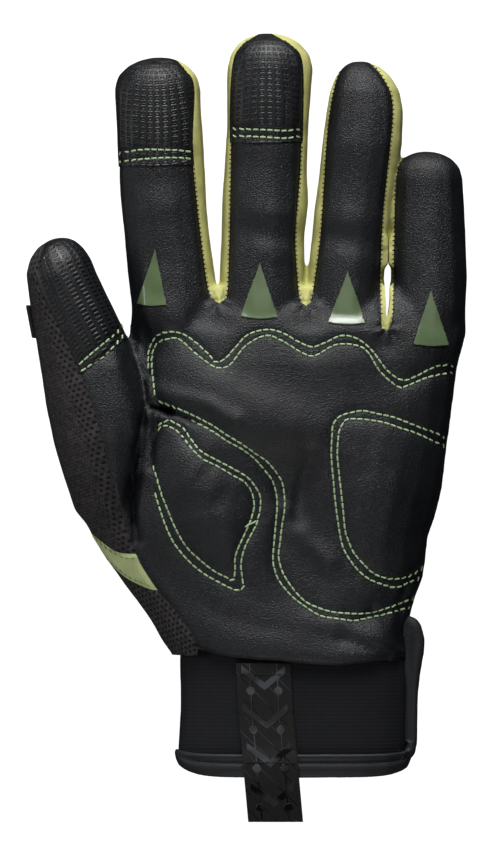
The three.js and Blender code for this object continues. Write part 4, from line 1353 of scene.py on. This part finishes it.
def build_tab():
    """A flat grid laid along the path, thickened and rounded."""
    bpy.ops.object.select_all(action="DESELECT")
    bpy.ops.mesh.primitive_grid_add(x_subdivisions=20, y_subdivisions=60, size=1)
    tab = bpy.context.object
    tab.name = tab.data.name = "pull_strap"
    flat = corners(tab)
    along = (0.5 - flat[:, 1]) * TAB_RUN
    middle = np.column_stack([np.interp(along, tab_run, tab_curve[:, i]) for i in range(3)])
    middle[:, :2] += CENTRING
    middle[:, 0] += flat[:, 0] * TAB_WIDTH
    middle[:, 2] += TAB_BOW * (1 - (2 * flat[:, 0]) ** 2) - 0.1
    move_to(tab, middle * MM)
    only(tab)
    bpy.ops.object.mode_set(mode="EDIT")
    bpy.ops.mesh.select_all(action="SELECT")
    bpy.ops.mesh.normals_make_consistent(inside=False)
    bpy.ops.object.mode_set(mode="OBJECT")
    if normals(tab)[:, 2].mean() < 0:
        bpy.ops.object.mode_set(mode="EDIT")
        bpy.ops.mesh.flip_normals()
        bpy.ops.object.mode_set(mode="OBJECT")
    modifier(tab, "SOLIDIFY", thickness=TAB_THICK * MM, offset=1)
    modifier(tab, "BEVEL", width=TAB_BEVEL * MM, segments=2, limit_method="ANGLE")
    return tab


TAB_LINES = [[(-2.3, -81.3), (14.0, -81.6)], [(-0.4, -110.6), (16.4, -110.8)]]
pull_strap = build_tab()
place(pull_strap, strap_finish, "strap_cloth", "pull_tab")
sew([np.array(line) for line in TAB_LINES], [pull_strap], "tab_stitches", black_thread,
    "strap_cloth", pitch=1.9, size=0.8)
print("tab placed")

# %% [markdown]
# The glove lies on a white sweep in the soft, even light of a product photograph, with the
# main lights beyond the fingertips and a softer one opposite.

# %% Floor
SWEEP_SIZE = 6
SWEEP_DROP = 0.5 * MM
bpy.data.objects.remove(worm)
bpy.ops.object.select_all(action="DESELECT")
bpy.ops.mesh.primitive_plane_add(size=SWEEP_SIZE, location=(0, 0, -SWEEP_DROP))
floor = bpy.context.object
floor.name = "white_sweep"
white = bpy.data.materials.new("white_sweep")
white.use_nodes = True
white_shader = white.node_tree.nodes["Principled BSDF"]
white_shader.inputs["Base Color"].default_value = (0.3, 0.3, 0.3, 1)
white_shader.inputs["Roughness"].default_value = 1.0
white_shader.inputs["Emission Color"].default_value = (1, 1, 1, 1)
white_shader.inputs["Emission Strength"].default_value = 1.0
floor.data.materials.append(white)
floor.visible_glossy = False
floor.visible_diffuse = False
print("floor", round(SWEEP_DROP / MM, 1), "mm below the glove")

# %% Lights
GLOVE_MIDDLE = 0.02
world = bpy.data.worlds.new("studio")
bpy.context.scene.world = world
world.use_nodes = True
world.node_tree.nodes["Background"].inputs["Color"].default_value = (0.95, 0.98, 1.0, 1)
world.node_tree.nodes["Background"].inputs["Strength"].default_value = 0.02


def area_light(name, place_m, size, power):
    """A square light that faces the glove."""
    bpy.ops.object.light_add(type="AREA", location=place_m)
    light = bpy.context.object
    light.name = name
    light.data.energy = power
    light.data.size = size
    aim = Vector((0, 0, GLOVE_MIDDLE)) - Vector(place_m)
    light.rotation_euler = aim.to_track_quat("-Z", "Y").to_euler()


area_light("key", (0, 2.6, 0.7), 1.2, 84)
area_light("key_high", (-0.3, 2.4, 1.4), 1.4, 42)
area_light("opposite", (0, -2.4, 1.4), 1.4, 34)
area_light("left_rim", (-2.6, 0.3, 0.5), 1.2, 20)
area_light("above", (0, 0.3, 2.7), 1.4, 5)
bpy.context.scene.view_settings.view_transform = "Standard"
print("lit", round(time.time() - started, 1), "s")
